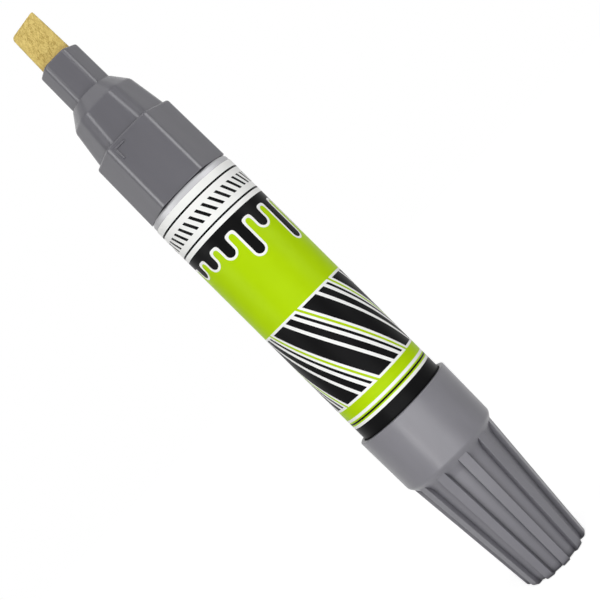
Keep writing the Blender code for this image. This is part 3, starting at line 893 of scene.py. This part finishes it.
@dataclass
class Cap:
    """The cap posted on the barrel's closed end, with its seal cup."""

    length: float = 42.55 * MM
    bore: float = 10.1 * MM
    mouth_radius: float = 11.15 * MM
    skirt_radius: float = 10.95 * MM
    skirt_start: float = 29.8 * MM
    ledge: float = 30.5 * MM
    hollow_top: float = 27.5 * MM
    hollow_radius: float = 8.19 * MM
    end_wall: float = 1.2 * MM
    end_radius: float = 6.79 * MM
    end_round: float = 0.7 * MM
    floor_rise: float = 2.4 / 27.5
    groove_top: float = 27.5 * MM
    groove_run_out: float = 0.9 * MM
    wall: float = 1.0 * MM
    rib_count: int = 11
    rib_turn: float = math.radians(8.0)
    rib_width: float = 2.15 * MM
    rib_narrowing: float = 0.81
    rib_height: float = 0.9 * MM
    rib_base: float = 0.02 * MM
    rib_top: float = 29.0 * MM
    rib_root: float = 0.5 * MM
    cup_z: float = 1.5 * MM
    cup_length: float = 21.95 * MM
    cup_wall: float = 0.7 * MM
    cup_bore: float = 5.644 * MM
    cup_end: float = 5.621 * MM
    flange: float = 1.2 * MM
    flange_radius: float = 7.527 * MM

    def floor_radius(self, height: float) -> float:
        """Radius of the grooves' floors at a height."""
        return self.end_radius + self.floor_rise * height

    def build_shell(self) -> Piece:
        """Turns the shell and unites it with its ribs.

        Returns:
            The cap's shell.
        """
        shell = turn("cap_moulding", (
            Corner(0.0, 0.0),
            Corner(self.end_radius, 0.0, self.end_round),
            Corner(self.floor_radius(self.groove_top), self.groove_top, self.groove_run_out),
            Corner(self.skirt_radius, self.skirt_start, Round.FULL),
            Corner(self.mouth_radius, self.length, Round.EASED),
            Corner(self.bore, self.length, Round.SOFT),
            Corner(self.bore, self.ledge),
            Corner(self.hollow_radius, self.ledge, Round.SMALL),
            Corner(self.hollow_radius, self.hollow_top),
            Corner(self.floor_radius(self.end_wall) - self.wall, self.end_wall, Round.FULL),
            Corner(0.0, self.end_wall),
        ))
        combine(shell, Join.ADD, self.build_ribs())
        return shell

    def build_ribs(self) -> Piece:
        """Models one grip rib and copies it round the cap.

        Returns:
            All ribs as one tool.
        """
        tip = self.floor_radius(self.rib_top)
        ribs = draw("cap_ribs", (
            Corner(self.end_radius - self.end_round - self.rib_root, self.rib_base),
            Corner(self.end_radius + self.rib_height, self.rib_base, self.end_round),
            Corner(tip + self.rib_height, self.rib_top, Round.CRISP),
            Corner(tip - self.rib_root, self.rib_top),
            Corner(self.floor_radius(self.end_wall) - self.rib_root, self.end_wall),
        ))
        bpy.ops.mesh.edge_face_add()
        extrude(0.0, self.rib_width, 0.0)
        bpy.ops.mesh.select_all(action="SELECT")
        bpy.ops.transform.translate(value=(0.0, -self.rib_width / 2, 0.0))
        bpy.ops.mesh.normals_make_consistent(inside=False)
        pick(ribs, Domain.VERT, lambda vert: vert.co.z < self.rib_top / 2)
        bpy.ops.transform.resize(value=(1.0, self.rib_narrowing, 1.0), center_override=CENTRE)
        soften(ribs, self.is_rib_edge, Round.CRISP, EDGE_STEPS)
        bpy.ops.mesh.select_all(action="SELECT")
        bpy.ops.transform.rotate(value=math.pi / 2 - self.rib_turn, orient_axis="Z", center_override=CENTRE)
        pitch = FULL_TURN / self.rib_count
        for _ in range(self.rib_count - 1):
            bpy.ops.mesh.duplicate()
            bpy.ops.transform.rotate(value=pitch, orient_axis="Z", center_override=CENTRE)
        return close_up(ribs)

    def is_rib_edge(self, edge: bmesh.types.BMEdge) -> bool:
        """Whether an edge runs along the outer side of the rib."""
        along = abs(edge.verts[0].co.y - edge.verts[1].co.y) < self.rib_width / 2
        return along and all(vert.co.x > self.floor_radius(vert.co.z) for vert in edge.verts)

    def build_cup(self) -> Piece:
        """Turns the seal cup that closes on the nose's cone.

        Returns:
            The cup.
        """
        top = self.cup_z + self.cup_length
        flange_z = top - 2 * self.flange
        outer = self.cup_bore + self.cup_wall
        return turn("cap_liner", (
            Corner(0.0, self.cup_z),
            Corner(self.cup_end, self.cup_z, Round.SOFT),
            Corner(outer, flange_z, Round.SMALL),
            Corner(self.flange_radius, flange_z, Round.LIGHT),
            Corner(self.flange_radius, flange_z + self.flange, Round.LIGHT),
            Corner(outer, flange_z + self.flange, Round.SMALL),
            Corner(outer, top, Round.LIGHT),
            Corner(self.cup_bore + self.cup_wall / 2, top, Round.CRISP),
            Corner(self.cup_bore, top - self.cup_wall, Round.SMALL),
            Corner(self.cup_end - self.cup_wall, self.cup_z + self.cup_wall, Round.SOFT),
            Corner(0.0, self.cup_z + self.cup_wall),
        ), SMALL_STEPS)

    def build(self) -> list[Piece]:
        """Builds and dresses the cap's pieces.

        Returns:
            The dressed pieces.
        """
        return [
            dress(self.build_shell(), CAP_POLYPROPYLENE, Body.CAP, Slot.CAP, "cap_shell"),
            dress(self.build_cup(), LINER_POLYETHYLENE, Body.CAP, Slot.LINER, "cap_seal_cup"),
        ]


@dataclass
class Barrel:
    """The drawn can with its label and the two mixing balls."""

    base: float = 30.8 * MM
    top: float = 100.75 * MM
    radius: float = 9.85 * MM
    wall: float = 0.45 * MM
    floor: float = 0.6 * MM
    base_round: float = 1.2 * MM
    lip_round: float = 0.6 * MM
    lip_radius: float = 8.45 * MM
    label_base: float = 33.2 * MM
    label_top: float = 99.35 * MM
    label_inner: float = 9.86 * MM
    label_outer: float = 10.0 * MM
    label_edge: float = 0.03 * MM
    ball_radius: float = 3.0 * MM
    ball_place: float = 4.2 * MM
    ball_z: float = 34.5 * MM
    ball_flat: float = 0.5 * MM
    ball_arc_steps: int = 24

    def build_can(self) -> Piece:
        """Turns the can with its rounded base and rolled lip.

        Returns:
            The can.
        """
        bore = self.radius - self.wall
        return turn("barrel_can", (
            Corner(0.0, self.base),
            Corner(self.radius, self.base, self.base_round),
            Corner(self.radius, self.top, self.lip_round),
            Corner(self.lip_radius, self.top, Round.CRISP),
            Corner(self.lip_radius, self.top - self.wall, Round.CRISP),
            Corner(bore, self.top - self.wall, self.lip_round - self.wall),
            Corner(bore, self.base + self.floor, self.base_round - self.wall),
            Corner(0.0, self.base + self.floor),
        ))

    def build_label(self) -> Piece:
        """Turns the thin film with soft cut edges.

        Returns:
            The label.
        """
        return turn("label_film", (
            Corner(self.label_inner, self.label_base),
            Corner(self.label_outer, self.label_base, self.label_edge),
            Corner(self.label_outer, self.label_top, self.label_edge),
            Corner(self.label_inner, self.label_top),
        ))

    def build_balls(self) -> tuple[Piece, Piece]:
        """Turns a mixing ball with the tiny polar flats of its grinding, and copies it.

        Returns:
            The balls to the left and the right of the axis.
        """
        flat = math.asin(self.ball_flat / self.ball_radius)
        middle = Corner(0.0, self.ball_z)
        side = arc(middle, self.ball_radius, flat - math.pi / 2, math.pi - 2 * flat, self.ball_arc_steps)
        outline = (Corner(0.0, side[0].height), *side, Corner(0.0, side[-1].height))
        left = turn("ball_left", outline, SMALL_STEPS)
        activate(left)
        bpy.ops.object.duplicate(linked=False)
        right = bpy.context.active_object
        right.name = "ball_right"
        for ball, place in ((left, -self.ball_place), (right, self.ball_place)):
            activate(ball)
            ball.location.x = place
            bpy.ops.object.transform_apply(location=True, rotation=True, scale=True)
        return left, right

    def build(self) -> list[Piece]:
        """Builds and dresses the barrel's pieces.

        Returns:
            The dressed pieces.
        """
        can = dress(self.build_can(), CAN_ALUMINIUM, Body.BARREL, Slot.BARREL, "barrel_tube")
        label = dress(self.build_label(), LABEL_FILM, Body.BARREL, Slot.LABEL, "label_wrap")
        left, right = self.build_balls()
        low_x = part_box("mixing_ball_1")[0][0]
        first, second = (left, right) if low_x < -self.ball_radius else (right, left)
        dress(first, BALL_STEEL, Body.BALL_1, Slot.BALL, "mixing_ball_1")
        dress(second, BALL_STEEL, Body.BALL_2, Slot.BALL, "mixing_ball_2")
        return [can, label, first, second]


@dataclass
class Nose:
    """The hexagonal nose collar with its tip tube and spigot, and the ring that seals it."""

    collar: Hexagon = Hexagon(Corner(8.841 * MM, 100.92 * MM), Corner(8.621 * MM, 116.2 * MM), 1.8 * MM)
    collar_edge: float = 0.5 * MM
    mid: Hexagon = Hexagon(Corner(8.1 * MM, 115.7 * MM), Corner(7.01 * MM, 124.05 * MM), 3.2 * MM)
    cone: Corner = Corner(5.19 * MM, 127.15 * MM)
    cone_edge: float = 0.35 * MM
    cone_rim: float = 0.12 * MM
    tip: Hexagon = Hexagon(Corner(4.489 * MM, 125.05 * MM), Corner(4.369 * MM, 136.5 * MM), 1.5 * MM)
    tip_edge: float = 0.45 * MM
    spigot_base: float = 91.25 * MM
    spigot_radius: float = 9.3 * MM
    neck_radius: float = 8.35 * MM
    neck_base: float = 99.75 * MM
    neck_top: float = 103.92 * MM
    groove_radius: float = 7.7 * MM
    groove_base: float = 95.85 * MM
    groove_top: float = 97.65 * MM
    valve_bore: float = 6.9 * MM
    chamber_radius: float = 4.49 * MM
    chamber_base: float = 113.05 * MM
    slot_base: float = 122.55 * MM
    slot_width: float = 7.25 * MM
    slot_thickness: float = 3.7 * MM
    slot_round: float = 0.6 * MM
    ring: Corner = Corner(8.55 * MM, 96.75 * MM)
    ring_section: float = 0.8 * MM
    ring_arc_steps: int = 24
    mark_x: float = -3.95 * MM
    mark_z: float = 115.15 * MM
    mark_across: float = 2.1 * MM
    mark_down: float = 2.3 * MM
    mark_width: float = 0.46 * MM
    mark_height: float = 0.26 * MM
    mark_depth: float = 1.04 * MM
    mark_round: float = 0.21 * MM

    def build_collar(self) -> Piece:
        """Shapes the wide hexagon that the hand holds.

        Returns:
            The collar.
        """
        collar = hex_bar("nose_moulding", self.collar)
        soften(collar, lies_at(Z, self.collar.high.height), self.collar_edge, RIM_STEPS)
        soften(collar, lies_at(Z, self.collar.low.height), Round.LIGHT, FINE_STEPS)
        return close_up(collar)

    def build_mid(self) -> Piece:
        """Shapes the narrower hexagon and draws its front in to a round shoulder.

        Returns:
            The middle section.
        """
        mid = hex_bar("nose_mid", self.mid)
        top = self.mid.high.height
        pick(mid, Domain.EDGE, lambda edge: not is_upright(edge) and edge.calc_length() > self.mid.fillet)
        bpy.ops.mesh.subdivide(number_cuts=FLAT_CUTS)
        pick(mid, Domain.FACE, lambda face: face.normal.z > FACING)
        extrude(0.0, 0.0, self.cone.height - top)
        bpy.ops.transform.tosphere(value=1.0)
        rim = [vert for vert in bmesh.from_edit_mesh(mid.data).verts if vert.select]
        shrink = self.cone.radius / rim[0].co.xy.length
        bpy.ops.transform.resize(value=(shrink, shrink, 1.0), center_override=(0.0, 0.0, self.cone.height))
        soften(mid, lies_at(Z, top), self.cone_edge, EDGE_STEPS)
        soften(mid, lies_at(Z, self.cone.height), self.cone_rim, FINE_STEPS)
        return close_up(mid)

    def build_tip(self) -> Piece:
        """Shapes the slim hexagonal tube that holds the nib.

        Returns:
            The tip.
        """
        tip = hex_bar("nose_tip", self.tip)
        soften(tip, lies_at(Z, self.tip.high.height), self.tip_edge, SOFT_STEPS)
        return close_up(tip)

    def build_spigot(self) -> Piece:
        """Turns the spigot with its neck under the barrel's lip and its ring groove.

        Returns:
            The spigot.
        """
        return turn("nose_spigot", (
            Corner(0.0, self.spigot_base),
            Corner(self.spigot_radius, self.spigot_base, Round.SOFT),
            Corner(self.spigot_radius, self.groove_base),
            Corner(self.groove_radius, self.groove_base),
            Corner(self.groove_radius, self.groove_top),
            Corner(self.spigot_radius, self.groove_top),
            Corner(self.spigot_radius, self.neck_base, Round.SMALL),
            Corner(self.neck_radius, self.neck_base),
            Corner(self.neck_radius, self.neck_top),
            Corner(0.0, self.neck_top),
        ))

    def build_bore(self) -> Piece:
        """Turns the tool for the valve bore and the paint chamber.

        Returns:
            The bore tool.
        """
        return turn("nose_bore", (
            Corner(0.0, self.spigot_base - OVERRUN),
            Corner(self.valve_bore, self.spigot_base - OVERRUN),
            Corner(self.valve_bore, self.chamber_base),
            Corner(self.chamber_radius, self.chamber_base),
            Corner(self.chamber_radius, self.mid.high.height),
            Corner(0.0, self.mid.high.height),
        ), SMALL_STEPS)

    def build_slot(self) -> Piece:
        """Shapes the tool for the nib's slot.

        Returns:
            The slot tool.
        """
        high = self.tip.high.height + OVERRUN
        size = (self.slot_width, self.slot_thickness, high - self.slot_base)
        slot = block("nose_slot", (0.0, 0.0, (self.slot_base + high) / 2), size)
        soften(slot, is_upright, self.slot_round, SOFT_STEPS)
        return close_up(slot)

    def build_mark(self) -> Piece:
        """Shapes the small raised corner mark on the collar's front flat.

        Returns:
            The mark.
        """
        low, high = self.collar.low, self.collar.high
        rise = (self.mark_z - low.height) / (high.height - low.height)
        front = -self.mark_height - low.radius - (high.radius - low.radius) * rise
        half = self.mark_width / 2
        middle = (self.mark_x + half, front + self.mark_depth / 2, self.mark_z - half)
        mark = block("nose_mark", middle, (self.mark_width, self.mark_depth, self.mark_width))
        pick(mark, Domain.FACE, lambda face: face.normal.x > FACING)
        extrude(self.mark_across, 0.0, 0.0)
        pick(mark, Domain.FACE, self.is_mark_foot)
        extrude(0.0, 0.0, -self.mark_down)
        soften(mark, lies_at(Y, front), self.mark_round, RIM_STEPS)
        return close_up(mark)

    def is_mark_foot(self, face: bmesh.types.BMFace) -> bool:
        """Whether a face is the mark's first block seen from below."""
        return face.normal.z < -FACING and face.calc_center_median().x < self.mark_x + self.mark_width

    def build_nose(self) -> Piece:
        """Unites the nose's sections and cuts its bore and slot.

        Returns:
            The nose.
        """
        nose = self.build_collar()
        for section in (self.build_mid(), self.build_tip(), self.build_spigot(), self.build_mark()):
            combine(nose, Join.ADD, section)
        for tool in (self.build_slot(), self.build_bore()):
            combine(nose, Join.CUT, tool)
        return nose

    def build_ring(self) -> Piece:
        """Turns the sealing ring."""
        circle = arc(self.ring, self.ring_section, 0.0, FULL_TURN, self.ring_arc_steps)
        return turn("spigot_ring", circle[:-1], SMALL_STEPS)

    def build(self) -> list[Piece]:
        """Builds and dresses the nose's pieces.

        Returns:
            The dressed pieces.
        """
        return [
            dress(self.build_nose(), NOSE_ABS, Body.BARREL, Slot.NOSE, "nose_collar"),
            dress(self.build_ring(), SEAL_RUBBER, Body.BARREL, Slot.SEAL, "collar_seal_ring"),
        ]


@dataclass
class Nib:
    """The felt nib: a slab with a skewed end and a chisel bevel at its back."""

    base: float = 115.35 * MM
    mouth: float = 136.5 * MM
    tip: float = 146.4 * MM
    width: float = 7.05 * MM
    tip_width: float = 6.5 * MM
    thickness: float = 3.5 * MM
    edge_round: float = 0.45 * MM
    skew: float = math.radians(6.5)
    edge: float = 1.1 * MM
    bevel: float = 3.6 * MM
    short_corner: float = 0.9 * MM
    corner_reach: float = 2.2 * MM
    corner_angle: float = math.radians(50)
    voxel: float = 0.11 * MM
    fuzz: float = 0.07 * MM
    fuzz_size: float = 0.45 * MM
    fuzz_depth: int = 2
    fuzz_level: float = 0.62

    def build_slab(self) -> Piece:
        """Shapes the slab and cuts its skewed, bevelled end.

        Returns:
            The nib.
        """
        size = (self.width, self.thickness, self.mouth - self.base)
        nib = block("felt_nib", (0.0, 0.0, (self.base + self.mouth) / 2), size)
        beyond = self.tip - self.mouth + self.width
        narrowing = (self.width - self.tip_width) / (self.tip - self.mouth)
        pick(nib, Domain.FACE, lambda face: face.normal.z > FACING)
        extrude(0.0, 0.0, beyond)
        bpy.ops.transform.resize(
            value=(1 - narrowing * beyond / self.width, 1.0, 1.0),
            center_override=(0.0, 0.0, self.mouth + beyond),
        )
        soften(nib, is_upright, self.edge_round, SOFT_STEPS)
        along = Vector((math.cos(self.skew), 0.0, math.sin(self.skew)))
        corner = Vector((self.tip_width / 2, 0.0, self.tip))
        bevel_start = corner + Vector((0.0, self.edge - self.thickness / 2, 0.0))
        straight_back = Vector((0.0, 1.0, 0.0))
        down_back = Vector((0.0, self.thickness - self.edge, -self.bevel))
        for point, across in ((corner, straight_back), (bevel_start, down_back)):
            bpy.ops.mesh.select_all(action="SELECT")
            beyond_cut = along.cross(across).normalized()
            bpy.ops.mesh.bisect(plane_co=point, plane_no=beyond_cut, use_fill=True, clear_outer=True)
        soften(nib, self.is_short_corner, self.short_corner, RIM_STEPS)
        return close_up(nib)

    def is_short_corner(self, edge: bmesh.types.BMEdge) -> bool:
        """Whether an edge lies where the skewed end meets the short side.

        Args:
            edge: Edge of the cut slab.

        Returns:
            True for that corner's edge.
        """
        at_side = all(vert.co.x < self.edge_round - self.tip_width / 2 for vert in edge.verts)
        at_end = all(vert.co.z > self.tip - self.corner_reach for vert in edge.verts)
        return at_side and at_end and edge.calc_face_angle(0.0) > self.corner_angle

    def build(self) -> list[Piece]:
        """Builds the nib, lifts its fibres from a fine mesh and dresses it.

        Returns:
            The dressed piece.
        """
        nib = self.build_slab()
        fibres = bpy.data.textures.new("felt_fibres", "CLOUDS")
        fibres.noise_scale = self.fuzz_size
        fibres.noise_depth = self.fuzz_depth
        lift = {"strength": self.fuzz, "mid_level": self.fuzz_level}
        modify(nib, "REMESH", mode="VOXEL", voxel_size=self.voxel)
        modify(nib, "DISPLACE", texture=fibres, texture_coords="LOCAL", **lift)
        return [dress(nib, NIB_FELT, Body.NIB, Slot.FELT, "nib")]


@dataclass
class Valve:
    """The valve behind the nib: seat, washer, plunger, return spring and cage."""

    seat_base: float = 109.35 * MM
    seat_top: float = 112.95 * MM
    radius: float = 6.8 * MM
    hole: float = 1.9 * MM
    recess: float = 1.0 * MM
    recess_radius: float = 4.4 * MM
    washer_base: float = 109.05 * MM
    washer_top: float = 110.25 * MM
    washer_radius: float = 4.3 * MM
    head_top: float = 108.95 * MM
    head_thickness: float = 1.8 * MM
    head_radius: float = 3.4 * MM
    stem_radius: float = 1.4 * MM
    stem_top: float = 115.25 * MM
    pin_radius: float = 1.2 * MM
    pin_base: float = 101.05 * MM
    spring_base: float = 98.65 * MM
    spring_length: float = 8.4 * MM
    spring_radius: float = 2.3 * MM
    spring_turns: int = 5
    spring_steps: int = 32
    wire: float = 0.28 * MM
    wire_sides: int = 12
    travel: float = 2.0 * MM
    cage_base: float = 97.05 * MM
    cage_top: float = 109.25 * MM
    cage_bore: float = 5.5 * MM
    cage_floor: float = 1.5 * MM
    cage_hole: float = 1.74 * MM
    window_width: float = 2.6 * MM
    window_height: float = 4.5 * MM
    window_rise: float = 1.5 * MM
    window_round: float = 0.5 * MM

    def build_seat(self) -> Piece:
        """Turns the seat disc with its washer recess.

        Returns:
            The seat.
        """
        return turn("seat_disc", (
            Corner(self.hole, self.seat_base + self.recess, Round.CRISP),
            Corner(self.recess_radius, self.seat_base + self.recess, Round.CRISP),
            Corner(self.recess_radius, self.seat_base, Round.LIGHT),
            Corner(self.radius, self.seat_base, Round.SOFT),
            Corner(self.radius, self.seat_top, Round.SOFT),
            Corner(self.hole, self.seat_top, Round.SOFT),
        ), SMALL_STEPS)

    def build_washer(self) -> Piece:
        """Turns the soft washer with rounded rims.

        Returns:
            The washer.
        """
        return turn("seat_washer", (
            Corner(self.hole, self.washer_base, Round.SMALL),
            Corner(self.washer_radius, self.washer_base, Round.SMALL),
            Corner(self.washer_radius, self.washer_top, Round.SMALL),
            Corner(self.hole, self.washer_top, Round.SMALL),
        ), SMALL_STEPS)

    def build_plunger(self) -> Piece:
        """Turns the plunger: guide pin, head and stem.

        Returns:
            The plunger.
        """
        head_base = self.head_top - self.head_thickness
        return turn("valve_plunger", (
            Corner(0.0, self.pin_base),
            Corner(self.pin_radius, self.pin_base, Round.SOFT),
            Corner(self.pin_radius, head_base, Round.LIGHT),
            Corner(self.head_radius, head_base, Round.EASED),
            Corner(self.head_radius, self.head_top, Round.EASED),
            Corner(self.stem_radius, self.head_top, Round.LIGHT),
            Corner(self.stem_radius, self.stem_top, Round.SOFT),
            Corner(0.0, self.stem_top),
        ), SMALL_STEPS)

    def build_spring(self) -> Piece:
        """Winds the spring's wire up the axis and closes its ends.

        Returns:
            The spring.
        """
        bpy.ops.object.select_all(action="DESELECT")
        bpy.ops.mesh.primitive_circle_add(
            vertices=self.wire_sides, radius=self.wire, fill_type="NOTHING", rotation=(math.pi / 2, 0.0, 0.0),
            location=(self.spring_radius, 0.0, self.spring_base + self.wire),
        )
        spring = start("return_spring")
        bpy.ops.object.mode_set(mode="OBJECT")
        pitch = (self.spring_length - 2 * self.wire) / self.spring_turns
        modify(
            spring, "SCREW", axis="Z", angle=FULL_TURN, screw_offset=pitch, iterations=self.spring_turns,
            steps=self.spring_steps, render_steps=self.spring_steps,
        )
        bpy.ops.object.mode_set(mode="EDIT")
        bpy.ops.mesh.select_all(action="SELECT")
        bpy.ops.mesh.remove_doubles(threshold=WELD)
        pick(spring, Domain.EDGE, lambda edge: edge.is_boundary)
        bpy.ops.mesh.fill_holes(sides=self.wire_sides)
        return close_up(spring)

    def build_cage(self) -> Piece:
        """Turns the cage and cuts its four windows.

        Returns:
            The cage.
        """
        cage = turn("spring_cage", (
            Corner(self.cage_hole, self.cage_base, Round.SMALL),
            Corner(self.radius, self.cage_base, Round.FULL),
            Corner(self.radius, self.cage_top, Round.SMALL),
            Corner(self.cage_bore, self.cage_top, Round.SMALL),
            Corner(self.cage_bore, self.cage_base + self.cage_floor, Round.SOFT),
            Corner(self.cage_hole, self.cage_base + self.cage_floor, Round.SMALL),
        ), SMALL_STEPS)
        through = 4 * self.radius
        middle = self.cage_base + self.cage_floor + self.window_rise + self.window_height / 2
        for width, depth in ((through, self.window_width), (self.window_width, through)):
            window = block("cage_window", (0.0, 0.0, middle), (width, depth, self.window_height))
            soften(window, lambda edge: edge.calc_length() > through / 2, self.window_round, RIM_STEPS)
            combine(cage, Join.CUT, close_up(window))
        return cage

    def build(self) -> list[Piece]:
        """Builds and dresses the valve's pieces.

        Returns:
            The dressed pieces.
        """
        pieces = [
            dress(self.build_seat(), VALVE_ACETAL, Body.BARREL, Slot.VALVE, "valve_seat"),
            dress(self.build_washer(), SEAL_RUBBER, Body.BARREL, Slot.SEAL, "seat_gasket"),
            dress(self.build_plunger(), VALVE_ACETAL, Body.NIB, Slot.VALVE, "valve_rod"),
            dress(self.build_cage(), VALVE_ACETAL, Body.BARREL, Slot.VALVE, "valve_case"),
        ]
        spring = self.build_spring()
        dress(spring, SPRING_STEEL, Body.BARREL, Slot.SPRING, "valve_spring")
        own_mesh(spring)
        return [*pieces, spring]


@dataclass(frozen=True)
class Softbox:
    """A rectangular light turned to a height on the marker's axis."""

    name: str
    power: float
    size: tuple[float, float]
    place: tuple[float, float, float]
    aim: float
    spread: float = math.pi

    def build(self) -> None:
        """Hangs the light."""
        data = bpy.data.lights.new(self.name, "AREA")
        data.shape = "RECTANGLE"
        data.energy = self.power
        data.size, data.size_y = self.size
        data.spread = self.spread
        box = bpy.data.objects.new(self.name, data)
        bpy.context.scene.collection.objects.link(box)
        box.location = self.place
        away = Vector(self.place) - Vector((0.0, 0.0, self.aim))
        box.rotation_euler = away.to_track_quat("Z", "Y").to_euler()


@dataclass
class Studio:
    """A white sweep, soft light and the camera of the photograph."""

    lens: float = 70.76
    sensor: float = 36.0
    clip_start: float = 0.01
    distance: float = 229.0 * MM
    orbit: float = math.radians(2.5)
    aim_x: float = 0.23 * MM
    aim_z: float = 70.55 * MM
    roll: float = math.atan2(0.709, 0.7053)
    floor_sides: int = 96
    floor_radius: float = 3.0
    floor_drop: float = 0.05 * MM
    floor_colour: str = "#f2f2f2"
    floor_lift_near: float = 0.75
    floor_lift_far: float = 0.9
    floor_near: float = 0.08
    floor_far: float = 0.6
    ambient: float = 0.14
    lights: tuple[Softbox, ...] = (
        Softbox("front_strip", 0.032, (0.145, 0.03), (-0.005, -0.1, 0.018), aim=0.016),
        Softbox("left_strip", 0.09, (0.4, 0.2), (-0.28, -0.14, 0.17), aim=0.14, spread=math.radians(44)),
        Softbox("left_upper", 0.0095, (0.12, 0.12), (-0.17, -0.27, 0.3), aim=0.122, spread=math.radians(40)),
        Softbox("right_strip", 0.09, (0.4, 0.2), (0.28, -0.14, 0.17), aim=0.14, spread=math.radians(44)),
        Softbox("right_upper", 0.0095, (0.12, 0.12), (0.17, -0.27, 0.3), aim=0.122, spread=math.radians(40)),
        Softbox("front_edge", 0.01, (0.008, 0.03), (-0.052, -0.09, 0.02), aim=0.035),
        Softbox("front_softbox", 0.7, (0.5, 0.05), (0.0, -0.55, 0.03), aim=0.06),
        Softbox("top_softbox", 0.66, (0.5, 0.5), (0.06, -0.2, 0.62), aim=0.07),
    )

    def build_camera(self) -> None:
        """Puts the camera at the photograph's place, rolled so that the marker lies across the frame."""
        data = bpy.data.cameras.new("camera")
        data.lens = self.lens
        data.sensor_width = self.sensor
        data.clip_start = self.clip_start
        camera = bpy.data.objects.new("camera", data)
        bpy.context.scene.collection.objects.link(camera)
        turned = Matrix.Rotation(self.orbit, 4, "Z")
        right = turned @ Vector((math.cos(self.roll), 0.0, -math.sin(self.roll)))
        up = turned @ Vector((math.sin(self.roll), 0.0, math.cos(self.roll)))
        back = turned @ Vector((0.0, -1.0, 0.0))
        place = back * self.distance + turned @ Vector((self.aim_x, 0.0, self.aim_z))
        camera.matrix_world = Matrix.Translation(place) @ Matrix((right, up, back)).transposed().to_4x4()
        bpy.context.scene.camera = camera

    def build_floor(self) -> None:
        """Lays the white floor."""
        bpy.ops.object.select_all(action="DESELECT")
        bpy.ops.mesh.primitive_circle_add(
            vertices=self.floor_sides, radius=self.floor_radius, fill_type="NGON",
            location=(0.0, 0.0, -self.floor_drop),
        )
        floor = start("floor")
        bpy.ops.object.mode_set(mode="OBJECT")
        floor.data.materials.append(self.paper())

    def paper(self) -> bpy.types.Material:
        """Makes matt paper that is lifted to white where it is seen directly, but keeps the marker's shadow.

        Returns:
            The floor's material.
        """
        material = bpy.data.materials.new("matt_white_paper")
        material.use_nodes = True
        tree = material.node_tree
        tree.nodes.remove(tree.nodes["Principled BSDF"])
        sheet = add_node(tree, "BsdfDiffuse", {"Color": linear(self.floor_colour)})
        coords = add_node(tree, "TexCoord", {}, out="Object")
        away = add_node(tree, "VectorMath", {0: coords}, out="Value", operation="LENGTH")
        lifted = add_node(tree, "MapRange", {
            "Value": away, "From Min": self.floor_near, "From Max": self.floor_far,
            "To Min": self.floor_lift_near, "To Max": self.floor_lift_far,
        })
        seen = add_node(tree, "Math", {0: self.direct_ray(tree), 1: lifted}, operation="MULTIPLY")
        lift = add_node(tree, "Emission", {"Strength": seen})
        both = add_node(tree, "AddShader", {0: sheet, 1: lift})
        plug(tree, tree.nodes["Material Output"], {"Surface": both})
        return material

    def direct_ray(self, tree: Tree) -> Socket:
        """Tells rays that show the backdrop from rays that light the marker.

        Args:
            tree: Node tree of the floor or the world.

        Returns:
            One for camera, glossy and transmission rays, zero for the rest.
        """
        shown = add_node(tree, "LightPath", {}, out="Is Camera Ray")
        path = shown.node.outputs
        for other in ("Is Glossy Ray", "Is Transmission Ray"):
            shown = add_node(tree, "Math", {0: shown, 1: path[other]}, operation="MAXIMUM")
        return shown

    def build_world(self) -> None:
        """Surrounds the marker with even white, at full strength only where it is seen."""
        world = bpy.data.worlds.new("white_surround")
        world.use_nodes = True
        tree = world.node_tree
        reach = {"Value": self.direct_ray(tree), "To Min": self.ambient, "To Max": 1.0}
        strength = add_node(tree, "MapRange", reach)
        plug(tree, tree.nodes["Background"], {"Color": (1.0, 1.0, 1.0, 1.0), "Strength": strength})
        bpy.context.scene.world = world

    def build(self) -> None:
        """Builds the studio round the marker."""
        self.build_camera()
        self.build_floor()
        self.build_world()
        for light in self.lights:
            light.build()
        bpy.context.scene.view_settings.view_transform = "Standard"


def main() -> None:
    """Loads the frame, builds every sub-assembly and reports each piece."""
    logging.basicConfig(level=logging.INFO, format="%(message)s")
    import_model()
    Studio().build()
    for assembly in (Barrel(), Nose(), Nib(), Valve(), Cap()):
        for piece in assembly.build():
            log.info("%s: %d faces", piece.name, len(piece.data.polygons))


if __name__ == "__main__":
    main()
